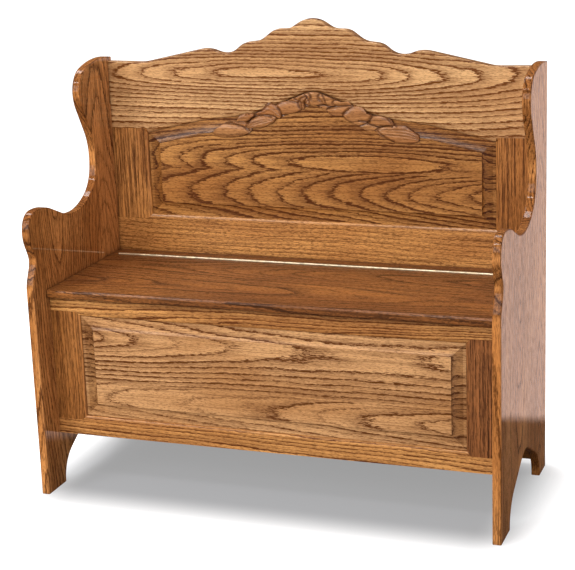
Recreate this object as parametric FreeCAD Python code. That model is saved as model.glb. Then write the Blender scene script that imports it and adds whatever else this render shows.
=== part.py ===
# Settle bench: two scrolled end boards carry a panelled front, a panelled back with a shaped
# crest, and a hinged seat lid over a storage box.
# Millimetres. +X to the sitter's left (the right of a front view), +Y to the back, +Z up.
# The origin is on the floor, in the middle of the bench.
import FreeCAD, Part
import math
import os

Vector = FreeCAD.Vector

# Whole bench
bench_width = 1067.0
bench_depth = 460.0
board = 19.0
arris = 3.0

# End boards: the scrolled outline, as depths behind the front edge and heights above the floor
end_height = 941.0
arm_height = 658.0
foot_front = 84.0
foot_rear = 68.0
foot_arch_spring = 49.0
foot_arch_crown = 131.0
foot_arch_haunch_radius = 79.0
foot_arch_crown_radius = 77.0
waist_width = 113.0
wing_width = 174.0
wing_top = 74.0
arm_hollow_width = 116.0
arm_hollow_depth = 64.0
knob_width = 79.0
knob_nose = 14.0
knob_overhang = 2.0
knob_height = 54.0
neck_depth = 27.0
neck_drop = 115.0
post_lean = 3.0
post_drop = 164.0
wing_crown_rise = 7.0
wing_crown_fall = 4.0
wing_shoulder_lean = 7.0
wing_shoulder_drop = 26.0
wing_cheek_drop = 90.0
waist_low = 56.0
arm_end_lean = 9.0
arm_fall = 4.0
wing_crown_radius = 286.0
wing_shoulder_radius = 58.0
wing_cheek_radius = 72.0
waist_radius = 124.0
arm_end_radius = 80.0
arm_hollow_radius = 157.0
arm_crown_radius = 158.0
knob_crown_radius = 38.0
knob_radius = 64.0
neck_radius = 36.0
post_radius = 64.0

# Seat
seat_height = 469.0
lid_thickness = 19.0
lid_overhang = 15.0
lid_side_gap = 1.5
seat_strip_depth = 47.5
lid_nose_radius = 5.0

# Framing: every rail and stile has a moulded inner edge and a groove that holds the panel
moulding_width = 10.5
moulding_depth = 6.5
quirk = 1.2
groove_width = 6.4
groove_depth = 9.5
tongue_thickness = 6.0
tongue_reach = 7.5
bevel_width = 31.0
bevel_step = 1.0
moulding_slices = 5
bevel_slices = 7

# Front frame
front_setback = 72.0
front_frame_bottom = 125.0
front_bottom_rail = 46.5
front_top_rail = 42.5
front_stile = 71.5

# Back frame
back_stile = 92.0
back_rail_lap = 18.0
back_lower_rail = 128.0
crest_rail_bottom = 758.5
crest_end_height = 928.5
crest_peak = 1041.0
crest_peak_radius = 60.0
crest_dip = 10.0
# Corners of the crest's top edge: share of the half width, share of its rise, radius
crest_lobes = [
    (0.819, -0.013, 95), (0.495, 0.307, 77), (0.398, 0.129, 50), (0.323, 0.409, 43),
    (0.241, 0.453, 51), (0.173, 0.689, 40), (0.103, 0.693, 40),
]
arch_peak = 868.5
arch_peak_radius = 60.0
# Corners of the arch below it: share of the opening's half width, share of its rise, radius
arch_lobes = [(0.658, 0.3, 80), (0.362, 0.45, 229)]

# Carving over the arched margin of the back panel
carving_strip_share = 0.44
carving_inset = 0.8
carving_width = 29.4
carving_gap = 0.1
carving_proud = 5.5
carving_rounding = 4.5
carving_slices = 4
carving_cut_radius = 1.8
# Corners of its lobes: share of the opening's half width, rise from the margin's middle, radius
carving_lower = [
    (0, -13.8, 14), (0.043, -15.7, 14), (0.111, -24.3, 12), (0.166, -13.2, 3),
    (0.178, -19.2, 8), (0.256, -21.1, 14), (0.298, -26, 10), (0.35, -14.3, 3),
    (0.379, -26.4, 16), (0.445, -35.7, 24), (0.525, -33.3, 22), (0.585, -26, 8),
]
carving_upper = [
    (0.594, -11.5, 7), (0.511, 6.9, 22), (0.457, 2.9, 3), (0.428, 18.3, 12),
    (0.379, 21.6, 14), (0.312, 11.4, 3), (0.267, 31, 12), (0.222, 19.3, 3), (0.204, 26, 8),
    (0.151, 14.5, 3), (0, 16.2, 50),
]
# Ends of the cuts between the lobes, as the same two measures
carving_partings = [
    ((0.151, 16), (0.043, -18)), ((0.222, 20), (0.161, -14)), ((0.312, 12), (0.265, -22)),
    ((0.457, 4), (0.35, -15)),
]

# Storage box
ply = 12.7
box_board_bottom = 16.0
cleat = 19.0
floor_cleat_height = 25.0
floor_cleat_rise = 2.0
floor_gap = 0.5
batten_width = 45.0
batten_count = 3
batten_end_inset = 130.0
batten_setback = 48.0

# Continuous hinge along the back of the lid
hinge_leaf_height = 16.0
hinge_leaf_thickness = 1.0
hinge_leaf_gap = 1.0
hinge_pitch = 25.4
hinge_barrel_radius = 2.5
hinge_pin_radius = 1.1
hinge_pin_clearance = 0.05
hinge_knuckle_gap = 0.3
hinge_barrel_clearance = 0.3
hinge_rise = 0.6
hinge_end_inset = 3.0

# Screws and dowels
screw_radius = 1.6
screw_head_radius = 3.4
screw_head_height = 2.0
screw_clearance = 0.05
cleat_screw_length = 30.0
board_screw_length = 28.0
hinge_screw_radius = 1.3
hinge_screw_head_radius = 2.4
hinge_screw_length = 13.0
hinge_screw_spacing = 101.6
dowel_radius = 4.0
dowel_length = 36.0
dowel_in_end = 11.0
dowel_room = 1.0
dowel_clearance = 0.05
dowel_count = 4
side_screw_count = 3
floor_screw_count = 5
ledger_screw_count = 6

# Planes that the pieces share
half_width = bench_width / 2
inner = half_width - board
front = -bench_depth / 2
rear = bench_depth / 2
front_face = front + front_setback
back_face = rear - board
box_front = front_face + board
seat_underside = seat_height - lid_thickness
back_rail_bottom = seat_underside - back_rail_lap
box_board_face = rear - ply
hinge_y = back_face - seat_strip_depth
hinge_z = seat_height + hinge_rise
hinge_half_gap = hinge_leaf_thickness + hinge_leaf_gap / 2
lid_front = front_face - lid_overhang
lid_back = hinge_y - hinge_half_gap
lid_half_width = inner - lid_side_gap
strip_front = hinge_y + hinge_half_gap
floor_cleat_bottom = front_frame_bottom + floor_cleat_rise
floor_bottom = floor_cleat_bottom + floor_cleat_height
floor_top = floor_bottom + ply
bevel_foot = moulding_depth + (groove_width - tongue_thickness) / 2
reach = bench_width
most_of_a_side = 0.99
tiny = 1e-6


def unit(vector):
    """The direction of a pair of numbers, with length one."""
    length = math.hypot(vector[0], vector[1])
    return vector[0] / length, vector[1] / length


def offset_corners(corners, distance):
    """Moves every side of a counter-clockwise outline outwards, and its corner radii with it."""
    moved = []
    count = len(corners)
    for index in range(count):
        u, v, radius = corners[index]
        before = corners[index - 1]
        after = corners[(index + 1) % count]
        way_in = unit((u - before[0], v - before[1]))
        way_out = unit((after[0] - u, after[1] - v))
        normal_in = (way_in[1], -way_in[0])
        normal_out = (way_out[1], -way_out[0])
        share = 1 + normal_in[0] * normal_out[0] + normal_in[1] * normal_out[1]
        turn = way_in[0] * way_out[1] - way_in[1] * way_out[0]
        if radius > 0:
            radius += distance if turn > 0 else -distance
        moved.append((
            u + (normal_in[0] + normal_out[0]) / share * distance,
            v + (normal_in[1] + normal_out[1]) / share * distance,
            radius,
        ))
    return moved


def with_room(corners):
    """Lowers the radii where two neighbouring arcs would take more than the side between them."""
    count = len(corners)
    runs = []
    for index in range(count):
        u, v, radius = corners[index]
        before = corners[index - 1]
        after = corners[(index + 1) % count]
        back = unit((before[0] - u, before[1] - v))
        ahead = unit((after[0] - u, after[1] - v))
        half = math.acos(max(-1.0, min(1.0, back[0] * ahead[0] + back[1] * ahead[1]))) / 2
        runs.append(radius / math.tan(half))
    shares = [1.0] * count
    for index in range(count):
        after = (index + 1) % count
        side = math.hypot(corners[after][0] - corners[index][0],
                          corners[after][1] - corners[index][1])
        taken = runs[index] + runs[after]
        if taken > side * most_of_a_side:
            share = side * most_of_a_side / taken
            shares[index] = min(shares[index], share)
            shares[after] = min(shares[after], share)
    return [(u, v, radius * share) for (u, v, radius), share in zip(corners, shares)]


def rounded_edges(corners, place):
    """Straight sides joined by tangent arcs of each corner's own radius."""
    count = len(corners)
    stations = []
    for index in range(count):
        u, v, radius = corners[index]
        if radius <= 0:
            stations.append(((u, v), None, (u, v)))
            continue
        before = corners[index - 1]
        after = corners[(index + 1) % count]
        back = unit((before[0] - u, before[1] - v))
        ahead = unit((after[0] - u, after[1] - v))
        half = math.acos(max(-1.0, min(1.0, back[0] * ahead[0] + back[1] * ahead[1]))) / 2
        run = radius / math.tan(half)
        middle = unit((back[0] + ahead[0], back[1] + ahead[1]))
        depth = radius / math.sin(half) - radius
        stations.append((
            (u + back[0] * run, v + back[1] * run),
            (u + middle[0] * depth, v + middle[1] * depth),
            (u + ahead[0] * run, v + ahead[1] * run),
        ))
    edges = []
    for index in range(count):
        start, crown, end = stations[index]
        if crown is not None:
            edges.append(Part.Arc(place(*start), place(*crown), place(*end)).toShape())
        follows = stations[(index + 1) % count][0]
        if math.hypot(follows[0] - end[0], follows[1] - end[1]) > tiny:
            edges.append(Part.LineSegment(place(*end), place(*follows)).toShape())
    return edges


def in_front_plane(y):
    """Places an outline drawn across and up at one depth."""
    return lambda across, up: Vector(across, y, up)


def in_side_plane(x):
    """Places an outline drawn back and up at one distance across."""
    return lambda back, up: Vector(x, back, up)


def outline_wire(corners, place):
    """The closed wire of a rounded outline."""
    return Part.Wire(rounded_edges(corners, place))


def front_prism(corners, y_from, y_to):
    """A slab with a rounded outline, from one depth to another."""
    face = Part.Face(outline_wire(corners, in_front_plane(y_from)))
    return face.extrude(Vector(0, y_to - y_from, 0))


def front_loft(rings):
    """A solid through outlines of the same corners at rising depths, with straight sides between."""
    wires = [outline_wire(corners, in_front_plane(y)) for corners, y in rings]
    return Part.makeLoft(wires, True, True)


def block(x_from, x_to, y_from, y_to, z_from, z_to):
    """A squared piece between three pairs of planes."""
    size = (x_to - x_from, y_to - y_from, z_to - z_from)
    return Part.makeBox(size[0], size[1], size[2], Vector(x_from, y_from, z_from))


def mirrored(shape):
    """The same piece on the other side of the bench."""
    return shape.mirror(Vector(0, 0, 0), Vector(1, 0, 0))


def rounded_arrises(shape, radius, wanted):
    """Rounds the edges of a piece that the test picks."""
    edges = [edge for edge in shape.Edges if wanted(edge)]
    return shape.makeFillet(radius, edges)


def rectangle(x_half, z_from, z_to):
    """A counter-clockwise rectangle, square at its corners."""
    return [(-x_half, z_from, 0), (x_half, z_from, 0), (x_half, z_to, 0), (-x_half, z_to, 0)]


# Screws and dowels

def screw(point, way, radius, head_radius, head_height, length, clearance=0.0):
    """A countersunk screw whose head's flat face is at the point, driven along the way."""
    head = Part.makeCone(head_radius + clearance, radius + clearance, head_height, point, way)
    shank = Part.makeCylinder(radius + clearance, length + clearance, point, way)
    return head.fuse(shank).removeSplitter()


def wood_screw(point, way, length, clearance=0.0):
    """A screw of the size that holds the cleats, ledgers, battens and back board."""
    return screw(point, way, screw_radius, screw_head_radius, screw_head_height, length, clearance)


def hinge_screw(point, way, clearance=0.0):
    """A small brass screw, whose head fills the hinge leaf's countersink."""
    return screw(point, way, hinge_screw_radius, hinge_screw_head_radius, hinge_leaf_thickness,
                 hinge_screw_length, clearance)


def dowel(side, y, z, clearance=0.0, room=0.0):
    """A dowel across the joint between an end board and a frame's edge."""
    start = inner + dowel_in_end + room
    length = dowel_length + 2 * room
    return Part.makeCylinder(dowel_radius + clearance, length, Vector(side * start, y, z),
                             Vector(-side, 0, 0))


def spread(low, high, count):
    """Evenly spaced places, half a step in from each end."""
    step = (high - low) / count
    return [low + step * (index + 0.5) for index in range(count)]


def seats(places, length):
    """The holes that wood screws of one length need."""
    return [wood_screw(point, way, length, screw_clearance) for point, way in places]


# End boards

def foot_arch_corners():
    """The arch between the two feet of an end board, from front to back."""
    heel = bench_depth - foot_rear
    middle = (foot_front + heel) / 2
    return [
        (foot_front, 0, 0),
        (foot_front, foot_arch_spring, foot_arch_haunch_radius),
        (middle, foot_arch_crown, foot_arch_crown_radius),
        (heel, foot_arch_spring, foot_arch_haunch_radius),
        (heel, 0, 0),
    ]


def end_corners():
    """The outline of an end board: feet, straight back, wing, waist, arm and its scrolled knob."""
    waist = bench_depth - waist_width
    wing = bench_depth - wing_width
    corners = [(0, 0, 0)]
    corners += foot_arch_corners()
    corners += [
        (bench_depth, 0, 0),
        (bench_depth, end_height - wing_crown_fall, 0),
        (bench_depth - wing_top, end_height + wing_crown_rise, wing_crown_radius),
        (wing - wing_shoulder_lean, end_height - wing_shoulder_drop, wing_shoulder_radius),
        (wing, end_height - wing_cheek_drop, wing_cheek_radius),
        (waist, (end_height + arm_height) / 2 - waist_low, waist_radius),
        (waist - arm_end_lean, arm_height - arm_fall, arm_end_radius),
        (waist - arm_hollow_width, arm_height - arm_hollow_depth, arm_hollow_radius),
        (knob_width, arm_height, arm_crown_radius),
        (knob_nose, arm_height - arm_fall, knob_crown_radius),
        (-knob_overhang, arm_height - knob_height, knob_radius),
        (neck_depth, arm_height - neck_drop, neck_radius),
        (post_lean, arm_height - post_drop, post_radius),
    ]
    return with_room([(front + depth, height, radius) for depth, height, radius in corners])


def end_board(dowels, screws):
    """The right-hand end board, with rounded arrises and blind holes in its inner face."""
    face = Part.Face(outline_wire(end_corners(), in_side_plane(inner)))
    shape = face.extrude(Vector(board, 0, 0))

    def on_a_face(edge):
        box = edge.BoundBox
        flat = box.XLength < tiny
        return flat and box.ZMax > tiny

    shape = rounded_arrises(shape, arris, on_a_face)
    return shape.cut(dowels + screws)


# Moulded frames and raised panels

def moulding_rings():
    """Offsets and depths of the rounded edge moulding, from its quirk down to the groove."""
    width = moulding_width - quirk
    drop = moulding_depth - quirk
    rings = []
    for index in range(moulding_slices + 1):
        angle = math.pi / 2 * index / moulding_slices
        rings.append((width * (1 - math.sin(angle)), quirk + drop * (1 - math.cos(angle))))
    return rings


def opening_tools(corners, face):
    """What the cutters take away around a panel opening: quirk, moulding, daylight and groove."""
    room = board
    tools = [front_prism(offset_corners(corners, moulding_width), face - room, face + quirk)]
    tools.append(front_loft([
        (offset_corners(corners, offset), face + depth) for offset, depth in moulding_rings()
    ]))
    tools.append(front_prism(corners, face - room, face + board + room))
    groove_face = face + moulding_depth
    tools.append(front_prism(offset_corners(corners, groove_depth), groove_face,
                             groove_face + groove_width))
    return tools


def front_opening():
    """The front panel's opening."""
    low = front_frame_bottom + front_bottom_rail
    high = seat_underside - front_top_rail
    return rectangle(inner - front_stile, low, high)


def front_long_opening():
    """The same opening run out past the ends, as the cutters pass along the rails."""
    low = front_frame_bottom + front_bottom_rail
    high = seat_underside - front_top_rail
    return rectangle(reach, low, high)


def arch_corners():
    """The arched top of the back panel's opening, from right to left."""
    half = inner - back_stile
    rise = arch_peak - crest_rail_bottom
    right = [(half, crest_rail_bottom, 0)]
    right += [(half * share, crest_rail_bottom + rise * part, radius)
              for share, part, radius in arch_lobes]
    left = [(-u, v, radius) for u, v, radius in reversed(right)]
    return right + [(0, arch_peak, arch_peak_radius)] + left


def back_opening():
    """The back panel's opening, with its arched top."""
    half = inner - back_stile
    low = back_rail_bottom + back_lower_rail
    return with_room([(-half, low, 0), (half, low, 0)] + arch_corners())


def back_long_opening():
    """The back opening run out past the stiles, as the cutters pass along the crest rail."""
    low = back_rail_bottom + back_lower_rail
    ends = [(reach, low, 0), (reach, crest_rail_bottom, 0)]
    corners = [(-reach, low, 0)] + ends + arch_corners() + [(-reach, crest_rail_bottom, 0)]
    return with_room(corners)


def rail(z_from, z_to, face, tools):
    """A rail that runs from one end board to the other."""
    blank = block(-inner, inner, face, face + board, z_from, z_to)
    return blank.cut(tools)


def stile(width, z_from, z_to, face, tools, rails):
    """The right-hand stile, coped over the rails' mouldings, with stub tenons in their grooves."""
    blank = block(inner - width, inner, face, face + board, z_from, z_to)
    return blank.cut(tools).cut(rails)


def bevel_rings():
    """Insets and depths of the raised panel's coved margin, from its tongue up to its field."""
    rise = bevel_foot - bevel_step
    rings = []
    for index in range(bevel_slices + 1):
        angle = math.pi / 2 * index / bevel_slices
        rings.append((bevel_width * math.sin(angle), bevel_foot - rise * (1 - math.cos(angle))))
    return rings


def raised_panel(corners, face):
    """A panel with a tongue all round, a coved margin and a field level with the frame."""
    tongue_face = face + bevel_foot
    back = tongue_face + tongue_thickness
    plate = front_prism(offset_corners(corners, tongue_reach), tongue_face, back)
    rings = [(offset_corners(corners, -inset), face + depth) for inset, depth in bevel_rings()]
    margin = front_loft(rings)
    field = front_prism(offset_corners(corners, -bevel_width), face, face + bevel_step)
    return plate.fuse([margin, field]).removeSplitter()


# Crest rail and carving

def crest_corners():
    """The shaped top edge of the crest rail, from right to left."""
    rise = crest_peak - crest_end_height
    right = [(inner, crest_end_height, 0)]
    right += [(inner * share, crest_end_height + rise * part, radius)
              for share, part, radius in crest_lobes]
    left = [(-u, v, radius) for u, v, radius in reversed(right)]
    return right + [(0, crest_peak, crest_peak_radius)] + left


def crest_rail(tools):
    """The wide top rail, arched below for the panel and shaped above, with a rounded top edge."""
    corners = [(-inner, crest_rail_bottom - moulding_width, 0),
               (inner, crest_rail_bottom - moulding_width, 0)] + crest_corners()
    blank = front_prism(with_room(corners), back_face, rear)

    def along_the_top(edge):
        box = edge.BoundBox
        level = box.YLength < tiny
        return level and box.ZMin > crest_end_height - crest_dip and box.XLength > tiny

    blank = rounded_arrises(blank, arris, along_the_top)
    return blank.cut(tools)


def on_margin(share, rise):
    """A point at a share of the opening's half width and a rise from the margin's middle line."""
    x = (inner - back_stile) * share
    middle = offset_corners(back_opening(), -carving_inset - carving_width / 2)
    shoulder, haunch, peak = middle[3:6]
    near, far = (peak, haunch) if x < haunch[0] else (haunch, shoulder)
    part = (x - near[0]) / (far[0] - near[0])
    return x, near[1] + (far[1] - near[1]) * part + rise


def carving_outline():
    """The lobed outline of the carving, anticlockwise from the bottom of its crown."""
    right = [(*on_margin(share, rise), radius)
             for share, rise, radius in carving_lower + carving_upper]
    left = [(-x, z, radius) for x, z, radius in reversed(right[1:-1])]
    return with_room(right + left)


def carving_strip(spare=0.0):
    """The part of the carving that fills the panel's margin, down to the tongue's face."""
    sides = []
    half_length = (inner - back_stile) * carving_strip_share + spare
    for inset in (carving_inset + carving_width + spare, carving_inset - spare):
        shoulder, haunch, peak = offset_corners(back_opening(), -inset)[3:6]
        share = (half_length - haunch[0]) / (shoulder[0] - haunch[0])
        end = (half_length, haunch[1] + (shoulder[1] - haunch[1]) * share, 0)
        sides.append([end, haunch, peak, (-haunch[0], haunch[1], haunch[2]), (-end[0], end[1], 0)])
    corners = list(reversed(sides[0])) + sides[1]
    return front_prism(corners, back_face - spare, back_face + bevel_foot)


def carving_cuts():
    """Round-bottomed cuts across the carving, which part its crown from its leaves."""
    cuts = []
    for high, low in carving_partings:
        top = on_margin(*high)
        foot = on_margin(*low)
        length = math.hypot(top[0] - foot[0], top[1] - foot[1])
        for side in (-1, 1):
            way = Vector(side * (top[0] - foot[0]), 0, top[1] - foot[1])
            start = Vector(side * foot[0], back_face - carving_proud, foot[1])
            cuts.append(Part.makeCylinder(carving_cut_radius, length, start, way))
    return cuts


def carving():
    """The lobed carving with rounded edges and cross cuts, on the strip that fills the margin."""
    outline = carving_outline()
    rings = []
    for index in range(carving_slices + 1):
        angle = math.pi / 2 * index / carving_slices
        shrink = carving_rounding * (1 - math.sin(angle))
        rings.append((offset_corners(outline, -shrink), back_face - carving_proud * math.cos(angle)))
    lobes = front_loft(rings)
    return lobes.fuse(carving_strip()).cut(carving_cuts()).removeSplitter()


def back_panel():
    """The back's raised panel, with a level recess in its arched margin for the carving."""
    return raised_panel(back_opening(), back_face).cut(carving_strip(carving_gap))


# Seat and storage box

def lid_blank():
    """The seat lid, with a rounded nose and eased edges at the hinge and ends."""
    shape = block(-lid_half_width, lid_half_width, lid_front, lid_back, seat_underside, seat_height)

    def nose(edge):
        box = edge.BoundBox
        return box.XLength > lid_half_width and box.YMax < lid_front + tiny

    def hinge_edge(edge):
        box = edge.BoundBox
        return box.XLength > lid_half_width and box.YMin > lid_back - tiny \
            and box.ZMin > seat_height - tiny

    shape = rounded_arrises(shape, lid_nose_radius, nose)
    return rounded_arrises(shape, arris, hinge_edge)


def seat_strip_blank():
    """The fixed strip behind the lid, with an eased edge at the hinge."""
    shape = block(-inner, inner, strip_front, back_face, seat_underside, seat_height)

    def hinge_edge(edge):
        box = edge.BoundBox
        return box.XLength > inner and box.YMax < strip_front + tiny \
            and box.ZMin > seat_height - tiny

    return rounded_arrises(shape, arris, hinge_edge)


def batten_places():
    """How far across each lid batten lies."""
    span = 2 * (lid_half_width - batten_end_inset)
    step = span / (batten_count - 1)
    return [-span / 2 + step * index for index in range(batten_count)]


def batten(x):
    """One batten under the lid."""
    return block(x - batten_width / 2, x + batten_width / 2, box_front + batten_setback / 2,
                 lid_back - batten_setback / 2, seat_underside - cleat, seat_underside)


# Screw places, as the head's point and the way it is driven

def floor_side_screws(side):
    """Through a side floor cleat into its end board."""
    z = floor_cleat_bottom + floor_cleat_height / 2
    x = side * (inner - cleat)
    return [(Vector(x, y, z), Vector(side, 0, 0))
            for y in spread(box_front, box_board_face, side_screw_count)]


def floor_front_screws():
    """Through the front floor cleat into the bottom rail."""
    z = floor_cleat_bottom + floor_cleat_height / 2
    y = box_front + cleat
    return [(Vector(x, y, z), Vector(0, -1, 0))
            for x in spread(cleat - inner, inner - cleat, floor_screw_count)]


def floor_back_screws():
    """Through the box's back board into the back floor cleat."""
    z = floor_cleat_bottom + floor_cleat_height / 2
    return [(Vector(x, rear, z), Vector(0, -1, 0))
            for x in spread(cleat - inner, inner - cleat, floor_screw_count)]


def corner_screws(side):
    """Through the box's back board into a corner cleat."""
    x = side * (inner - cleat / 2)
    heights = spread(floor_top, back_rail_bottom, side_screw_count)
    return [(Vector(x, rear, z), Vector(0, -1, 0)) for z in heights]


def ledger_side_screws(side):
    """Through a side seat ledger into its end board."""
    z = seat_underside - cleat / 2
    x = side * (inner - cleat)
    return [(Vector(x, y, z), Vector(side, 0, 0))
            for y in spread(box_front, back_face - cleat, side_screw_count)]


def ledger_back_screws():
    """Through the back seat ledger into the back frame's lower rail."""
    z = seat_underside - cleat / 2
    y = back_face - cleat
    return [(Vector(x, y, z), Vector(0, 1, 0))
            for x in spread(-inner, inner, ledger_screw_count)]


def batten_screws(x):
    """Up through a batten into the lid."""
    z = seat_underside - cleat
    ends = (box_front + batten_setback / 2, lid_back - batten_setback / 2)
    return [(Vector(x, y, z), Vector(0, 0, 1))
            for y in spread(ends[0], ends[1], side_screw_count)]


def dowel_places():
    """Depth and height of each dowel: in the front frame, then in the back frame."""
    front_y = front_face + board / 2
    back_y = back_face + board / 2
    low = front_frame_bottom + front_bottom_rail / 2
    high = seat_underside - front_top_rail / 2
    shares = [index / (dowel_count - 1) for index in range(dowel_count)]
    front_heights = [low + (high - low) * share for share in shares]
    back_low = back_rail_bottom + back_lower_rail / 2
    back_high = (crest_rail_bottom + crest_end_height) / 2
    back_heights = [back_low + (back_high - back_low) * share for share in shares]
    return [(front_y, z) for z in front_heights], [(back_y, z) for z in back_heights]


# Continuous hinge

def hinge_half_length():
    """Half the length of the hinge, which stops a little short of the lid's ends."""
    return lid_half_width - hinge_end_inset


def knuckle_count():
    """The largest odd number of whole knuckles, so that both ends of the hinge match."""
    return 2 * int((2 * hinge_half_length() / hinge_pitch - 1) / 2) + 1


def barrel_half_length():
    """Half the length of all the knuckles together."""
    return knuckle_count() * hinge_pitch / 2


def knuckle_spans(first):
    """The stretches of barrel that belong to one leaf, taking every second knuckle."""
    start = -barrel_half_length()
    return [(start + hinge_pitch * index, start + hinge_pitch * (index + 1))
            for index in range(first, knuckle_count(), 2)]


def barrels(spans, radius, grow):
    """Cylinders about the hinge's axis over the given stretches."""
    way = Vector(1, 0, 0)
    return [Part.makeCylinder(radius, high - low + 2 * grow, Vector(low - grow, hinge_y, hinge_z), way)
            for low, high in spans]


def hinge_screw_places(side):
    """Head point and way of each screw through one leaf; side is -1 for the lid's leaf."""
    count = int(2 * hinge_half_length() / hinge_screw_spacing)
    start = -(count - 1) * hinge_screw_spacing / 2
    z = seat_height - hinge_barrel_radius - hinge_leaf_height / 2
    y = hinge_y + side * hinge_leaf_gap / 2
    return [(Vector(start + hinge_screw_spacing * index, y, z), Vector(0, side, 0))
            for index in range(count)]


def hinge_leaf(side, first):
    """One leaf with its knuckles; side is -1 for the lid's leaf and 1 for the fixed one."""
    half = hinge_half_length()
    near = hinge_y + side * hinge_leaf_gap / 2
    far = hinge_y + side * hinge_half_gap
    bottom = seat_height - hinge_barrel_radius - hinge_leaf_height
    plate = block(-half, half, min(near, far), max(near, far), bottom, hinge_z)
    own = barrels(knuckle_spans(first), hinge_barrel_radius, -hinge_knuckle_gap / 2)
    shape = plate.fuse(own)
    others = barrels(knuckle_spans(1 - first), hinge_barrel_radius + hinge_barrel_clearance,
                     hinge_knuckle_gap / 2)
    plain = barrel_half_length() - hinge_knuckle_gap / 2
    ends = barrels([(-half - hinge_pitch, -plain), (plain, half + hinge_pitch)],
                   hinge_barrel_radius + hinge_barrel_clearance, 0)
    bore = barrels([(-half - hinge_pitch, half + hinge_pitch)],
                   hinge_pin_radius + hinge_pin_clearance, 0)
    holes = [hinge_screw(point, way, screw_clearance) for point, way in hinge_screw_places(side)]
    return shape.cut(others + ends + bore + holes)


def hinge_pin():
    """The wire through all the knuckles."""
    half = barrel_half_length()
    return Part.makeCylinder(hinge_pin_radius, 2 * half, Vector(-half, hinge_y, hinge_z),
                             Vector(1, 0, 0))


def group(shapes):
    """Separate solids kept in one node."""
    return Part.makeCompound(shapes)


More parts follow.
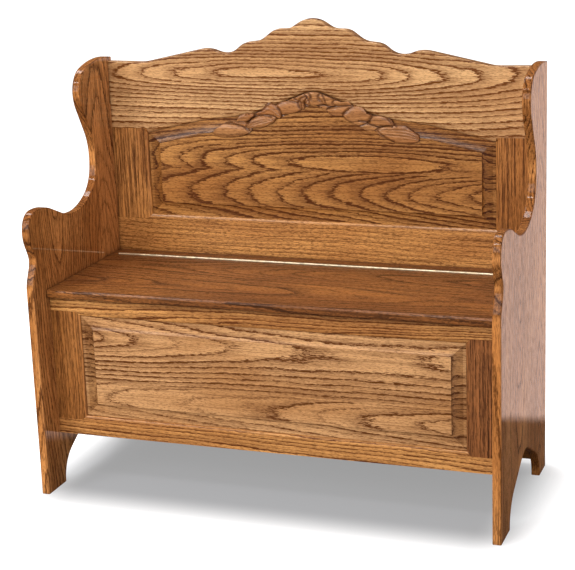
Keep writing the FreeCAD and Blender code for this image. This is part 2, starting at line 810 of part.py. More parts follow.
def build():
    """Every piece of the bench, by name."""
    parts = {}
    front_dowels, back_dowels = dowel_places()
    sides = (-1, 1)

    # Frames and panels
    front_rail_tools = opening_tools(front_long_opening(), front_face)
    front_stile_tools = opening_tools(front_opening(), front_face)
    low = front_frame_bottom + front_bottom_rail
    high = seat_underside - front_top_rail
    bottom_rail = rail(front_frame_bottom, low, front_face, front_rail_tools)
    top_rail = rail(high, seat_underside, front_face, front_rail_tools)
    front_right = stile(front_stile, low - moulding_width, high + moulding_width, front_face,
                        front_stile_tools, [bottom_rail, top_rail])
    back_rail_tools = opening_tools(back_long_opening(), back_face)
    back_stile_tools = opening_tools(back_opening(), back_face)
    back_low = back_rail_bottom + back_lower_rail
    lower_rail = rail(back_rail_bottom, back_low, back_face, back_rail_tools)
    crest = crest_rail(back_rail_tools)
    back_right = stile(back_stile, back_low - moulding_width, crest_rail_bottom + moulding_width,
                       back_face, back_stile_tools, [lower_rail, crest])

    # Holes for the dowels and screws
    def dowel_holes(places):
        return [dowel(side, y, z, dowel_clearance, dowel_room)
                for side in sides for y, z in places]

    front_holes = dowel_holes(front_dowels)
    back_holes = dowel_holes(back_dowels)
    front_cleat_holes = seats(floor_front_screws(), cleat_screw_length)
    back_cleat_holes = seats(floor_back_screws(), board_screw_length)
    ledger_back_holes = seats(ledger_back_screws(), cleat_screw_length)
    parts["front_bottom_rail"] = bottom_rail.cut(front_holes + front_cleat_holes)
    parts["front_top_rail"] = top_rail.cut(front_holes)
    parts["front_right_stile"] = front_right.cut(front_holes)
    parts["front_left_stile"] = mirrored(parts["front_right_stile"])
    parts["front_raised_panel"] = raised_panel(front_opening(), front_face)
    parts["back_lower_rail"] = lower_rail.cut(back_holes + ledger_back_holes)
    parts["crest_rail"] = crest.cut(back_holes)
    parts["back_right_stile"] = back_right.cut(back_holes)
    parts["back_left_stile"] = mirrored(parts["back_right_stile"])
    parts["back_raised_panel"] = back_panel()
    parts["carved_band"] = carving()

    # End boards
    side_screws = floor_side_screws(1) + ledger_side_screws(1)
    parts["right_end_board"] = end_board(front_holes + back_holes,
                                         seats(side_screws, cleat_screw_length))
    parts["left_end_board"] = mirrored(parts["right_end_board"])
    parts["front_frame_dowels"] = group([dowel(s, y, z) for s in sides for y, z in front_dowels])
    parts["back_frame_dowels"] = group([dowel(s, y, z) for s in sides for y, z in back_dowels])

    # Storage box: back board, floor, the cleats that carry it and the ledgers under the seat
    corner_holes = []
    for side in sides:
        corner_holes += seats(corner_screws(side), board_screw_length)
    board_blank = block(-inner, inner, box_board_face, rear, box_board_bottom, back_rail_bottom)
    parts["box_back_board"] = board_blank.cut(back_cleat_holes + corner_holes)
    parts["box_floor"] = block(floor_gap - inner, inner - floor_gap, box_front + floor_gap,
                               box_board_face - floor_gap, floor_bottom, floor_top)
    side_cleat = block(inner - cleat, inner, box_front, box_board_face, floor_cleat_bottom,
                       floor_bottom)
    parts["floor_right_cleat"] = side_cleat.cut(seats(floor_side_screws(1), cleat_screw_length))
    parts["floor_left_cleat"] = mirrored(parts["floor_right_cleat"])
    parts["floor_front_cleat"] = block(
        cleat - inner, inner - cleat, box_front, box_front + cleat, floor_cleat_bottom,
        floor_bottom).cut(front_cleat_holes)
    parts["floor_back_cleat"] = block(
        cleat - inner, inner - cleat, box_board_face - cleat, box_board_face,
        floor_cleat_bottom, floor_bottom).cut(back_cleat_holes)
    corner_blank = block(inner - cleat, inner, box_board_face - cleat, box_board_face, floor_top,
                         back_rail_bottom - cleat)
    parts["box_right_corner_cleat"] = corner_blank.cut(corner_holes)
    parts["box_left_corner_cleat"] = mirrored(parts["box_right_corner_cleat"])
    side_ledger = block(inner - cleat, inner, box_front, back_face - cleat,
                        seat_underside - cleat, seat_underside)
    parts["seat_right_ledger"] = side_ledger.cut(seats(ledger_side_screws(1), cleat_screw_length))
    parts["seat_left_ledger"] = mirrored(parts["seat_right_ledger"])
    parts["seat_back_ledger"] = block(-inner, inner, back_face - cleat, back_face,
                                      seat_underside - cleat, seat_underside).cut(ledger_back_holes)
    floor_places = floor_front_screws() + floor_side_screws(1) + floor_side_screws(-1)
    parts["floor_cleat_screws"] = group([wood_screw(point, way, cleat_screw_length)
                                         for point, way in floor_places])
    ledger_places = ledger_side_screws(1) + ledger_side_screws(-1) + ledger_back_screws()
    parts["seat_ledger_screws"] = group([wood_screw(point, way, cleat_screw_length)
                                         for point, way in ledger_places])
    board_places = floor_back_screws() + corner_screws(1) + corner_screws(-1)
    parts["back_board_screws"] = group([wood_screw(point, way, board_screw_length)
                                        for point, way in board_places])

    # Seat: fixed strip, lid, battens and the continuous hinge
    lid_holes = [hinge_screw(point, way, screw_clearance) for point, way in hinge_screw_places(-1)]
    strip_holes = [hinge_screw(point, way, screw_clearance) for point, way in hinge_screw_places(1)]
    batten_places_all = []
    for number, x in enumerate(batten_places(), 1):
        places = batten_screws(x)
        batten_places_all += places
        parts["lid_batten_%d" % number] = batten(x).cut(seats(places, cleat_screw_length))
    lid_holes += seats(batten_places_all, cleat_screw_length)
    parts["seat_lid"] = lid_blank().cut(lid_holes)
    parts["seat_strip"] = seat_strip_blank().cut(strip_holes)
    parts["lid_batten_screws"] = group([wood_screw(point, way, cleat_screw_length)
                                        for point, way in batten_places_all])
    parts["hinge_lid_leaf"] = hinge_leaf(-1, 0)
    parts["hinge_fixed_leaf"] = hinge_leaf(1, 1)
    parts["hinge_pin"] = hinge_pin()
    parts["hinge_lid_screws"] = group([hinge_screw(point, way)
                                       for point, way in hinge_screw_places(-1)])
    parts["hinge_fixed_screws"] = group([hinge_screw(point, way)
                                         for point, way in hinge_screw_places(1)])
    return parts


def main():
    """Writes one file for each piece."""
    os.makedirs("parts", exist_ok=True)
    for name, shape in build().items():
        shape.exportStep("parts/%s.step" % name)
        print("%-26s %d solid(s) %12.1f mm3 valid=%s" % (
            name, len(shape.Solids), shape.Volume, shape.isValid()))


main()
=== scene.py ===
"""Looks of a varnished oak settle bench: grain, stain, carving, hinge, studio and camera."""

import logging
import math
from dataclasses import dataclass
from enum import Enum
from typing import Any, Optional, Sequence

import bpy
import numpy as np
from mathutils import Matrix

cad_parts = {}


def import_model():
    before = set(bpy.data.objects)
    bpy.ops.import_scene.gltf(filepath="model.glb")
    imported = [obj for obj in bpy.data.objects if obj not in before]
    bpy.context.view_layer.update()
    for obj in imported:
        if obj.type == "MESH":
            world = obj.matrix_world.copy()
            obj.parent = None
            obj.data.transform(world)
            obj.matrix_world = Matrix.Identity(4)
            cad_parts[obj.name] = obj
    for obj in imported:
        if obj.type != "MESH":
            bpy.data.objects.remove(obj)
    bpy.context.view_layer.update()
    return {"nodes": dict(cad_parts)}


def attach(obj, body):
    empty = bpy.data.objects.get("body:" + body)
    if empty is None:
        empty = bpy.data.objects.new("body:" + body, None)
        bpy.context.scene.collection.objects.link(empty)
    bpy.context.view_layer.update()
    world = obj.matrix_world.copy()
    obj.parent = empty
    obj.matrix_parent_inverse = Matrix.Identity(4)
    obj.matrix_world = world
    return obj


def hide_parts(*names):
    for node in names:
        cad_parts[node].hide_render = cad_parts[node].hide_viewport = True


LOG = logging.getLogger("settle")
Colour = tuple[float, float, float]
Pieces = dict[str, bpy.types.Object]


def srgb(red: float, green: float, blue: float) -> Colour:
    """Turn a colour as seen on a screen into the linear values that shaders take.

    Args:
        red: Red, from 0 to 255.
        green: Green, from 0 to 255.
        blue: Blue, from 0 to 255.

    Returns:
        The three linear values.
    """
    def one(value: float) -> float:
        """Turn one value."""
        share = value / 255
        return share / 12.92 if share <= 0.04045 else ((share + 0.055) / 1.055) ** 2.4

    return one(red), one(green), one(blue)


# Building shaders


class Graph:
    """A node tree with short ways to add and join nodes.

    Attributes:
        tree: The node tree.
    """

    def __init__(self, tree: bpy.types.NodeTree) -> None:
        """Take hold of a node tree."""
        self.tree = tree

    def add(self, kind: str, **settings: Any) -> bpy.types.Node:
        """Add a node.

        Args:
            kind: The node's type.
            settings: Properties to set on it.

        Returns:
            The new node.
        """
        node = self.tree.nodes.new(kind)
        for name, value in settings.items():
            setattr(node, name, value)
        return node

    def feed(self, socket: bpy.types.NodeSocket, value: Any) -> None:
        """Link an output to a socket, or write a constant on it.

        Args:
            socket: The input.
            value: An output socket, a number or a colour.
        """
        if isinstance(value, bpy.types.NodeSocket):
            self.tree.links.new(value, socket)
        elif socket.type == "RGBA" and len(value) == 3:
            socket.default_value = (*value, 1.0)
        else:
            socket.default_value = value

    def math(self, operation: str, *values: Any, clamp: bool = False) -> bpy.types.NodeSocket:
        """Work out a number from others.

        Args:
            operation: The sum to do.
            values: Its inputs, in order.
            clamp: Whether to keep the result between 0 and 1.

        Returns:
            The result's socket.
        """
        node = self.add("ShaderNodeMath", operation=operation, use_clamp=clamp)
        for socket, value in zip(node.inputs, values):
            self.feed(socket, value)
        return node.outputs[0]

    def smooth(self, value: Any, low: Any, high: Any) -> bpy.types.NodeSocket:
        """Rise smoothly from 0 to 1 as a value goes from low to high.

        Args:
            value: The value.
            low: Where the rise starts.
            high: Where it ends.

        Returns:
            The result's socket.
        """
        node = self.add("ShaderNodeMapRange", interpolation_type="SMOOTHSTEP")
        for index, item in enumerate((value, low, high)):
            self.feed(node.inputs[index], item)
        return node.outputs[0]

    def noise(self, vector: Any, scale: float = 1.0, detail: float = 2.0, roughness: float = 0.5,
              colour: bool = False) -> bpy.types.NodeSocket:
        """Add soft noise.

        Args:
            vector: Where to read it.
            scale: How fine it is.
            detail: How many finer layers it has.
            roughness: How strong those layers are.
            colour: Whether to give three values in place of one.

        Returns:
            The noise's socket.
        """
        node = self.add("ShaderNodeTexNoise")
        self.feed(node.inputs["Vector"], vector)
        self.feed(node.inputs["Scale"], scale)
        self.feed(node.inputs["Detail"], detail)
        self.feed(node.inputs["Roughness"], roughness)
        return node.outputs["Color" if colour else "Fac"]

    def stretch(self, vector: Any, along: Any, across: Any, seed: Any = 0.0) -> bpy.types.NodeSocket:
        """Scale a board's coordinates so that noise follows its grain.

        Args:
            vector: Board coordinates: along, across and into the board.
            along: Scale along the grain.
            across: Scale across it and into it.
            seed: An offset that tells boards apart.

        Returns:
            The scaled vector's socket.
        """
        scaled = self.add("ShaderNodeVectorMath", operation="MULTIPLY")
        self.feed(scaled.inputs[0], vector)
        self.feed(scaled.inputs[1], self.combine(along, across, across))
        moved = self.add("ShaderNodeVectorMath", operation="ADD")
        self.feed(moved.inputs[0], scaled.outputs[0])
        self.feed(moved.inputs[1], self.combine(seed, seed, seed))
        return moved.outputs[0]

    def combine(self, x: Any, y: Any, z: Any) -> bpy.types.NodeSocket:
        """Join three numbers into a vector.

        Args:
            x: First value.
            y: Second value.
            z: Third value.

        Returns:
            The vector's socket.
        """
        node = self.add("ShaderNodeCombineXYZ")
        for socket, value in zip(node.inputs, (x, y, z)):
            self.feed(socket, value)
        return node.outputs[0]

    def split(self, vector: Any) -> list[bpy.types.NodeSocket]:
        """Split a vector into its three numbers.

        Args:
            vector: The vector.

        Returns:
            The three sockets.
        """
        node = self.add("ShaderNodeSeparateXYZ")
        self.feed(node.inputs[0], vector)
        return list(node.outputs)

    def mix(self, share: Any, first: Any, second: Any, blend: str = "MIX") -> bpy.types.NodeSocket:
        """Mix two colours.

        Args:
            share: How much of the second.
            first: The first colour.
            second: The second colour.
            blend: The way they mix.

        Returns:
            The mixed colour's socket.
        """
        node = self.add("ShaderNodeMix", data_type="RGBA", blend_type=blend)
        self.feed(node.inputs["Factor"], share)
        self.feed(node.inputs[6], first)
        self.feed(node.inputs[7], second)
        return node.outputs[2]

    def bump(self, height: Any, strength: float, distance: float) -> bpy.types.NodeSocket:
        """Tilt the surface's normal by a height.

        Args:
            height: The height's socket.
            strength: How much of the tilt shows.
            distance: How high a value of 1 is, in metres.

        Returns:
            The normal's socket.
        """
        node = self.add("ShaderNodeBump")
        for name, value in (("Strength", strength), ("Distance", distance), ("Height", height)):
            self.feed(node.inputs[name], value)
        return node.outputs[0]


def blank(name: str) -> tuple[bpy.types.Material, Graph, bpy.types.Node]:
    """Start a material that has only its Principled shader.

    Args:
        name: The material's name.

    Returns:
        The material, its graph and its shader.
    """
    material = bpy.data.materials.new(name)
    material.use_nodes = True
    return material, Graph(material.node_tree), material.node_tree.nodes["Principled BSDF"]


class ShaderGroup:
    """A named shader node group, built the first time it is placed.

    Attributes:
        name: The group's name.
        takes: Name, kind and starting value of each input.
        gives: Name and kind of each output.
    """

    name: str = ""
    takes: Sequence[tuple[str, str, Any]] = ()
    gives: Sequence[tuple[str, str]] = ()

    def build(self, graph: Graph, source: bpy.types.Node, sink: bpy.types.Node) -> None:
        """Fill the group.

        Args:
            graph: The group's tree.
            source: Its input node.
            sink: Its output node.
        """
        raise NotImplementedError

    def tree(self) -> bpy.types.NodeTree:
        """Find the group's tree, or build it.

        Returns:
            The tree.
        """
        known = bpy.data.node_groups.get(self.name)
        if known:
            return known
        tree = bpy.data.node_groups.new(self.name, "ShaderNodeTree")
        for label, kind, start in self.takes:
            socket = tree.interface.new_socket(label, in_out="INPUT", socket_type=kind)
            if start is not None:
                socket.default_value = start
        for label, kind in self.gives:
            tree.interface.new_socket(label, in_out="OUTPUT", socket_type=kind)
        graph = Graph(tree)
        self.build(graph, graph.add("NodeGroupInput"), graph.add("NodeGroupOutput"))
        return tree

    def place(self, graph: Graph, **values: Any) -> bpy.types.Node:
        """Put the group in a tree.

        Args:
            graph: The tree.
            values: Its inputs, with spaces as underscores.

        Returns:
            The group node.
        """
        node = graph.add("ShaderNodeGroup")
        node.node_tree = self.tree()
        for label, value in values.items():
            graph.feed(node.inputs[label.replace("_", " ")], value)
        return node


FLOAT, VECTOR, COLOUR = "NodeSocketFloat", "NodeSocketVector", "NodeSocketColor"


class GrowthRings(ShaderGroup):
    """Rings of a tree as cones round a tilted log axis, which a board's faces cut into arches.

    Attributes:
        slow: Scale of the slow wandering, along and across the board.
        fine: Scale of the finer ripples, along and across the board.
        squeeze: How many rings the slow wandering adds or takes.
        ripple: How many rings the finer ripples add or take.
    """

    slow: tuple[float, float] = (2.6, 7.0)
    fine: tuple[float, float] = (9.0, 60.0)
    squeeze: float = 1.4
    ripple: float = 0.55

    name = "Growth rings"
    takes = (("Board", VECTOR, None), ("Centre", FLOAT, 0.0), ("Depth", FLOAT, 0.05),
             ("Tilt", FLOAT, 0.1), ("Count", FLOAT, 60.0), ("Power", FLOAT, 0.5),
             ("Below", FLOAT, 1.0), ("Bow", FLOAT, 0.0), ("Pinch", FLOAT, 0.0),
             ("Wander", FLOAT, 0.02), ("Seed", FLOAT, 0.0))
    gives = (("Rings", FLOAT), ("Spacing", FLOAT))

    def build(self, graph: Graph, source: bpy.types.Node, sink: bpy.types.Node) -> None:
        """Count the rings from the log's axis, with slow wandering and finer ripples.

        The spacing is the distance on the face from one ring to the next: one over the length of
        the ring count's slope along and across the board.

        Args:
            graph: The group's tree.
            source: Its input node.
            sink: Its output node.
        """
        board, seed = source.outputs["Board"], source.outputs["Seed"]
        along, across, into = graph.split(board)
        slow = graph.noise(graph.stretch(board, *self.slow, seed), colour=True)
        side, lift, squeeze = (graph.math("SUBTRACT", item, 0.5) for item in graph.split(slow))
        wander = source.outputs["Wander"]
        off_side = graph.math("SUBTRACT", across, source.outputs["Centre"])
        off_side = graph.math("MULTIPLY_ADD", side, wander, off_side)
        under = graph.math("MULTIPLY", graph.math("MINIMUM", off_side, 0.0), source.outputs["Below"])
        off_side = graph.math("ADD", graph.math("MAXIMUM", off_side, 0.0), under)
        tilt = graph.math("MULTIPLY_ADD", along, source.outputs["Bow"], source.outputs["Tilt"])
        off_deep = graph.math("MULTIPLY_ADD", along, tilt, source.outputs["Depth"])
        off_deep = graph.math("ADD", off_deep, into)
        off_deep = graph.math("MULTIPLY_ADD", lift, wander, off_deep)
        pinch = graph.math("MULTIPLY", graph.math("ABSOLUTE", off_side), source.outputs["Pinch"])
        squared = graph.math("MULTIPLY_ADD", off_side, off_side, pinch)
        squared = graph.math("MULTIPLY_ADD", off_deep, off_deep, squared)
        radius = graph.math("SQRT", squared)
        power = source.outputs["Power"]
        rings = graph.math("POWER", radius, power)
        rings = graph.math("MULTIPLY", rings, source.outputs["Count"])
        leaning = graph.math("MULTIPLY_ADD", along, source.outputs["Bow"], tilt)
        sloped = graph.math("MULTIPLY", off_deep, leaning)
        slope = graph.math("MULTIPLY_ADD", off_side, off_side, graph.math("MULTIPLY", sloped, sloped))
        slope = graph.math("MULTIPLY", graph.math("SQRT", slope), graph.math("MULTIPLY", rings, power))
        spacing = graph.math("DIVIDE", squared, graph.math("MAXIMUM", slope, 1e-6))
        graph.feed(sink.inputs["Spacing"], spacing)
        fine = graph.noise(graph.stretch(board, *self.fine, seed), detail=3.0)
        ripple = graph.math("SUBTRACT", fine, 0.5)
        rings = graph.math("MULTIPLY_ADD", squeeze, self.squeeze, rings)
        graph.feed(sink.inputs["Rings"], graph.math("MULTIPLY_ADD", ripple, self.ripple, rings))


class OakFigure(ShaderGroup):
    """Dark porous bands at each ring, with pores, fine lines and clouds that follow the grain.

    Attributes:
        vessels: Scale of the vessels that fray the bands, along and across the board.
        fray: How far they fray the bands, in rings.
        strength: Least strength of a band, and how much chance adds.
        width: Least share of its width that a band has, and how much chance adds.
        usual: Ring spacing at which a band has its own width, in metres.
        widest: How much wider a band gets at most where rings lie close.
        rise: Share of a band over which it darkens.
        core: Share of a band that stays dark.
        tail: How many band widths it takes to fade, and how dark the fading wood is.
        patches: Scale of the patches in which bands are fainter.
        patch_edge: Noise values between which such a patch ends.
        faint: How strong a band stays in it.
        pore_level: Noise over which a pore opens, and how much lower that is inside a band.
        pore_edge: How softly a pore's edge rises.
        lines: Scale of the fine lines, along and across the board.
        line_edge: Noise values between which a fine line darkens.
        clouds: Scale of the clouds, along and across the board.
    """

    vessels: tuple[float, float] = (55.0, 480.0)
    fray: float = 0.75
    strength: tuple[float, float] = (0.75, 0.5)
    width: tuple[float, float] = (0.6, 0.9)
    usual: float = 0.012
    widest: float = 1.6
    rise: float = 0.3
    core: float = 0.7
    tail: tuple[float, float] = (3.0, 0.32)
    patches: tuple[float, float] = (7.0, 45.0)
    patch_edge: tuple[float, float] = (0.25, 0.6)
    faint: float = 0.65
    pore_level: tuple[float, float] = (0.53, 0.10)
    pore_edge: float = 0.06
    lines: tuple[float, float] = (6.5, 250.0)
    line_edge: tuple[float, float] = (0.47, 0.62)
    clouds: tuple[float, float] = (2.5, 9.0)

    name = "Oak figure"
    takes = (("Board", VECTOR, None), ("Rings", FLOAT, 0.0), ("Spacing", FLOAT, 0.01),
             ("Band Width", FLOAT, 0.26), ("Pore Length", FLOAT, 0.012),
             ("Pore Width", FLOAT, 0.0014), ("Seed", FLOAT, 0.0))
    gives = (("Bands", FLOAT), ("Pores", FLOAT), ("Lines", FLOAT), ("Clouds", FLOAT))

    def build(self, graph: Graph, source: bpy.types.Node, sink: bpy.types.Node) -> None:
        """Shape each ring's dark band with a sharp start and a slow fade, broken up by vessels.

        Args:
            graph: The group's tree.
            source: Its input node.
            sink: Its output node.
        """
        board, seed = source.outputs["Board"], source.outputs["Seed"]
        vessels = graph.noise(graph.stretch(board, *self.vessels, seed), roughness=0.6)
        ragged = graph.math("SUBTRACT", vessels, 0.5)
        rings = graph.math("MULTIPLY_ADD", ragged, self.fray, source.outputs["Rings"])
        place = graph.math("FRACT", rings)
        dice = graph.add("ShaderNodeTexWhiteNoise", noise_dimensions="1D")
        graph.feed(dice.inputs["W"], graph.math("FLOOR", rings))
        chance = dice.outputs["Value"]
        least, more = self.strength
        strength = graph.math("MULTIPLY_ADD", chance, more, least)
        close = graph.math("POWER", graph.math("DIVIDE", self.usual, source.outputs["Spacing"]), 0.5)
        close = graph.math("MINIMUM", close, self.widest)
        width = graph.math("MULTIPLY", source.outputs["Band Width"], close)
        least, more = self.width
        width = graph.math("MULTIPLY", width, graph.math("MULTIPLY_ADD", chance, more, least))
        start = graph.smooth(place, 0.0, graph.math("MULTIPLY", width, self.rise))
        inside = graph.smooth(place, graph.math("MULTIPLY", width, self.core), width)
        core = graph.math("SUBTRACT", 1.0, inside)
        reach, darkness = self.tail
        beyond = graph.smooth(place, width, graph.math("MULTIPLY", width, reach))
        tail = graph.math("SUBTRACT", 1.0, beyond)
        bands = graph.math("MAXIMUM", core, graph.math("MULTIPLY", tail, darkness))
        bands = graph.math("MULTIPLY", graph.math("MULTIPLY", start, bands), strength)
        patchy = graph.noise(graph.stretch(board, *self.patches, seed), detail=3.0)
        patchy = graph.smooth(patchy, *self.patch_edge)
        kept = graph.math("MULTIPLY_ADD", patchy, 1 - self.faint, self.faint)
        bands = graph.math("MULTIPLY", bands, kept)
        fineness = (graph.math("DIVIDE", 1.0, source.outputs[name])
                    for name in ("Pore Length", "Pore Width"))
        dashes = graph.noise(graph.stretch(board, *fineness, seed), roughness=0.6)
        level, lower = self.pore_level
        level = graph.math("SUBTRACT", level, graph.math("MULTIPLY", bands, lower))
        pores = graph.smooth(dashes, level, graph.math("ADD", level, self.pore_edge))
        fine = graph.noise(graph.stretch(board, *self.lines, seed), detail=4.0, roughness=0.7)
        clouds = graph.noise(graph.stretch(board, *self.clouds, seed), detail=3.0)
        graph.feed(sink.inputs["Bands"], bands)
        graph.feed(sink.inputs["Pores"], pores)
        graph.feed(sink.inputs["Lines"], graph.smooth(fine, *self.line_edge))
        graph.feed(sink.inputs["Clouds"], clouds)


class StainAndPaintedShade(ShaderGroup):
    """Where stain soaks into end grain, where painted shade and caught stain darken tight corners, and
    where varnish lies flat.

    Attributes:
        sky: How open a place is where the painted shade and caught stain are full, and where there are
            none.
        level: How squarely a surface faces the board's way where it starts to count as flat, and
            where it does in full.
    """

    sky: tuple[float, float] = (0.25, 0.85)
    level: tuple[float, float] = (0.95, 0.995)

    name = "Stain and painted shade"
    takes = (("Along", VECTOR, None), ("Face", VECTOR, None), ("Reach", FLOAT, 0.014),
             ("Soak", FLOAT, 0.3))
    gives = (("End Grain", FLOAT), ("Corner", FLOAT), ("Flat", FLOAT))

    def build(self, graph: Graph, source: bpy.types.Node, sink: bpy.types.Node) -> None:
        """Compare the surface's direction with the grain, and feel for nearby surfaces, which give the
        painted shade in corners.

        Args:
            graph: The group's tree.
            source: Its input node.
            sink: Its output node.
        """
        facing = graph.add("ShaderNodeTexCoord").outputs["Normal"]

        def turned(way: str) -> bpy.types.NodeSocket:
            """Find how squarely the surface faces one of the board's ways."""
            dot = graph.add("ShaderNodeVectorMath", operation="DOT_PRODUCT")
            graph.feed(dot.inputs[0], facing)
            graph.feed(dot.inputs[1], source.outputs[way])
            return graph.math("ABSOLUTE", dot.outputs["Value"])

        # painted shade: ambient occlusion darkens tight corners, partly as stain caught there and
        # partly as shade
        near = graph.add("ShaderNodeAmbientOcclusion", samples=6, only_local=False)
        graph.feed(near.inputs["Distance"], source.outputs["Reach"])
        corner_shade = graph.math("SUBTRACT", 1.0, graph.smooth(near.outputs["AO"], *self.sky))
        cut = graph.smooth(turned("Along"), 0.0, source.outputs["Soak"])
        graph.feed(sink.inputs["End Grain"], cut)
        graph.feed(sink.inputs["Corner"], corner_shade)
        graph.feed(sink.inputs["Flat"], graph.smooth(turned("Face"), *self.level))


class OakStainAndShade(ShaderGroup):
    """Colour, roughness and height of stained and varnished oak, from its figure, with painted shade
    in corners and recesses.

    Attributes:
        cloudy: Cloud values between which the wood goes from its body colour to its pale one.
        soaked: What stain in end grain leaves of the colour.
        corner_shade: How strongly the painted shade and caught stain in corners show.
        cavity_shade: How strongly the painted shade and caught stain in the carving's recesses show.
        dulling: Roughness that pores and bands add.
        depths: How deep pores and bands lie, as shares of the relief.
    """

    cloudy: tuple[float, float] = (0.36, 0.64)
    soaked: Colour = (0.60, 0.54, 0.46)
    corner_shade: float = 0.6
    cavity_shade: float = 0.7
    dulling: tuple[float, float] = (0.2, 0.1)
    depths: tuple[float, float] = (0.8, 0.35)

    name = "Oak stain and shade"
    takes = (("Bands", FLOAT, 0.0), ("Pores", FLOAT, 0.0), ("Lines", FLOAT, 0.0),
             ("Clouds", FLOAT, 0.5), ("CavityShade", FLOAT, 0.0), ("End Grain", FLOAT, 0.0),
             ("Corner", FLOAT, 0.0), ("Band Weight", FLOAT, 1.0), ("Pore Weight", FLOAT, 0.6),
             ("Line Weight", FLOAT, 0.4), ("Pale", COLOUR, None),
             ("Body", COLOUR, None), ("Dark", COLOUR, None), ("Pore", COLOUR, None),
             ("Gloss", FLOAT, 0.4))
    gives = (("Colour", COLOUR), ("Roughness", FLOAT), ("Height", FLOAT))

    def build(self, graph: Graph, source: bpy.types.Node, sink: bpy.types.Node) -> None:
        """Lay pale wood, lines, ring bands, pores, end-grain stain and the painted shade with caught
        stain over each other.

        Args:
            graph: The group's tree.
            source: Its input node.
            sink: Its output node.
        """
        given = source.outputs

        def weighed(name: str, weight: Any) -> bpy.types.NodeSocket:
            """Weigh one of the masks."""
            return graph.math("MULTIPLY", given[name], weight, clamp=True)

        cloudy = graph.smooth(given["Clouds"], *self.cloudy)
        wood = graph.mix(cloudy, given["Body"], given["Pale"])
        wood = graph.mix(weighed("Lines", given["Line Weight"]), wood, given["Dark"])
        wood = graph.mix(weighed("Bands", given["Band Weight"]), wood, given["Dark"])
        wood = graph.mix(weighed("Pores", given["Pore Weight"]), wood, given["Pore"])
        wood = graph.mix(given["End Grain"], wood, graph.mix(1.0, wood, self.soaked, "MULTIPLY"))
        # painted shade: corners and the carving's recesses take the pore colour, partly as caught
        # stain and partly as shade
        wood = graph.mix(weighed("Corner", self.corner_shade), wood, given["Pore"])
        wood = graph.mix(weighed("CavityShade", self.cavity_shade), wood, given["Pore"])
        rough, height = given["Gloss"], 1.0
        for name, dull, depth in zip(("Pores", "Bands"), self.dulling, self.depths):
            rough = graph.math("MULTIPLY_ADD", given[name], dull, rough)
            height = graph.math("MULTIPLY_ADD", given[name], -depth, height)
        graph.feed(sink.inputs["Colour"], wood)
        graph.feed(sink.inputs["Roughness"], rough)
        graph.feed(sink.inputs["Height"], height)


# Finishes


class Grain(Enum):
    """Which axes run along, across and into a board."""

    ACROSS_FRONT = ("X", "Z", "Y")
    UP_FRONT = ("Z", "X", "Y")
    UP_SIDE = ("Z", "Y", "X")
    ACROSS_TOP = ("X", "Y", "Z")
    BACK_TOP = ("Y", "X", "Z")


COUNTED_AT = 0.1  # metres from a log's axis at which its ring spacing is given


@dataclass(frozen=True)
class Stave:
    """How one board of a glued-up width was cut from its log, in metres.

    Attributes:
        centre: Where across the board the log's axis lies.
        depth: How far from the axis the frame's origin plane is, at the middle of the length.
        tilt: How fast the axis leaves the face along the board.
        spacing: The ring spacing at 100 mm from the axis.
        wander: How far the rings stray.
        seed: An offset that tells boards apart.
        until: Where across the width the stave ends, if another one follows.
        power: How the ring count grows with distance: 1 is even, less spreads the outer rings.
        below: Squeeze of the arches below the centre, where less than 1 makes them wider.
        bow: How the tilt changes along the board, which closes the arches into loops.
        pinch: How pointed the arches are.
    """

    centre: float
    depth: float
    tilt: float
    spacing: float
    wander: float
    seed: float
    until: Optional[float] = None
    power: float = 0.5
    below: float = 1.0
    bow: float = 0.0
    pinch: float = 0.0

    def count(self) -> float:
        """Find the factor that gives the ring spacing at 100 mm from the axis.

        Returns:
            The ring count at 1 m from the axis.
        """
        return COUNTED_AT ** (1 - self.power) / (self.spacing * self.power)


@dataclass(frozen=True)
class Stain:
    """The colours and sheen of one batch of stained wood.

    Attributes:
        pale: Lightest wood.
        body: Usual wood.
        dark: The ring bands.
        pore: The open pores, and stain caught in hollows.
        gloss: Roughness under the varnish.
        coat: Weight of the varnish.
        coat_rough: Roughness of the varnish.
        edge: Share of the varnish's weight left on rounded edges.
        sheen: Strength of the reflection under the varnish.
    """

    pale: Colour
    body: Colour
    dark: Colour
    pore: Colour
    gloss: float = 0.45
    coat: float = 0.6
    coat_rough: float = 0.26
    edge: float = 1.0
    sheen: float = 0.1


CREST_STAIN = Stain(srgb(219, 171, 117), srgb(199, 149, 97), srgb(112, 62, 24), srgb(88, 48, 18))
BACK_STAIN = Stain(srgb(192, 134, 72), srgb(168, 110, 54), srgb(88, 43, 12), srgb(70, 34, 9))
FRONT_STAIN = Stain(srgb(203, 152, 101), srgb(180, 127, 77), srgb(96, 51, 18), srgb(76, 38, 12))
RAIL_STAIN = Stain(srgb(212, 150, 84), srgb(190, 128, 68), srgb(100, 50, 16), srgb(76, 38, 10))
STILE_STAIN = Stain(srgb(204, 138, 74), srgb(168, 106, 50), srgb(78, 38, 12), srgb(58, 28, 8))
DARK_STILE_STAIN = Stain(srgb(156, 96, 50), srgb(124, 72, 36), srgb(60, 29, 12), srgb(44, 21, 7))
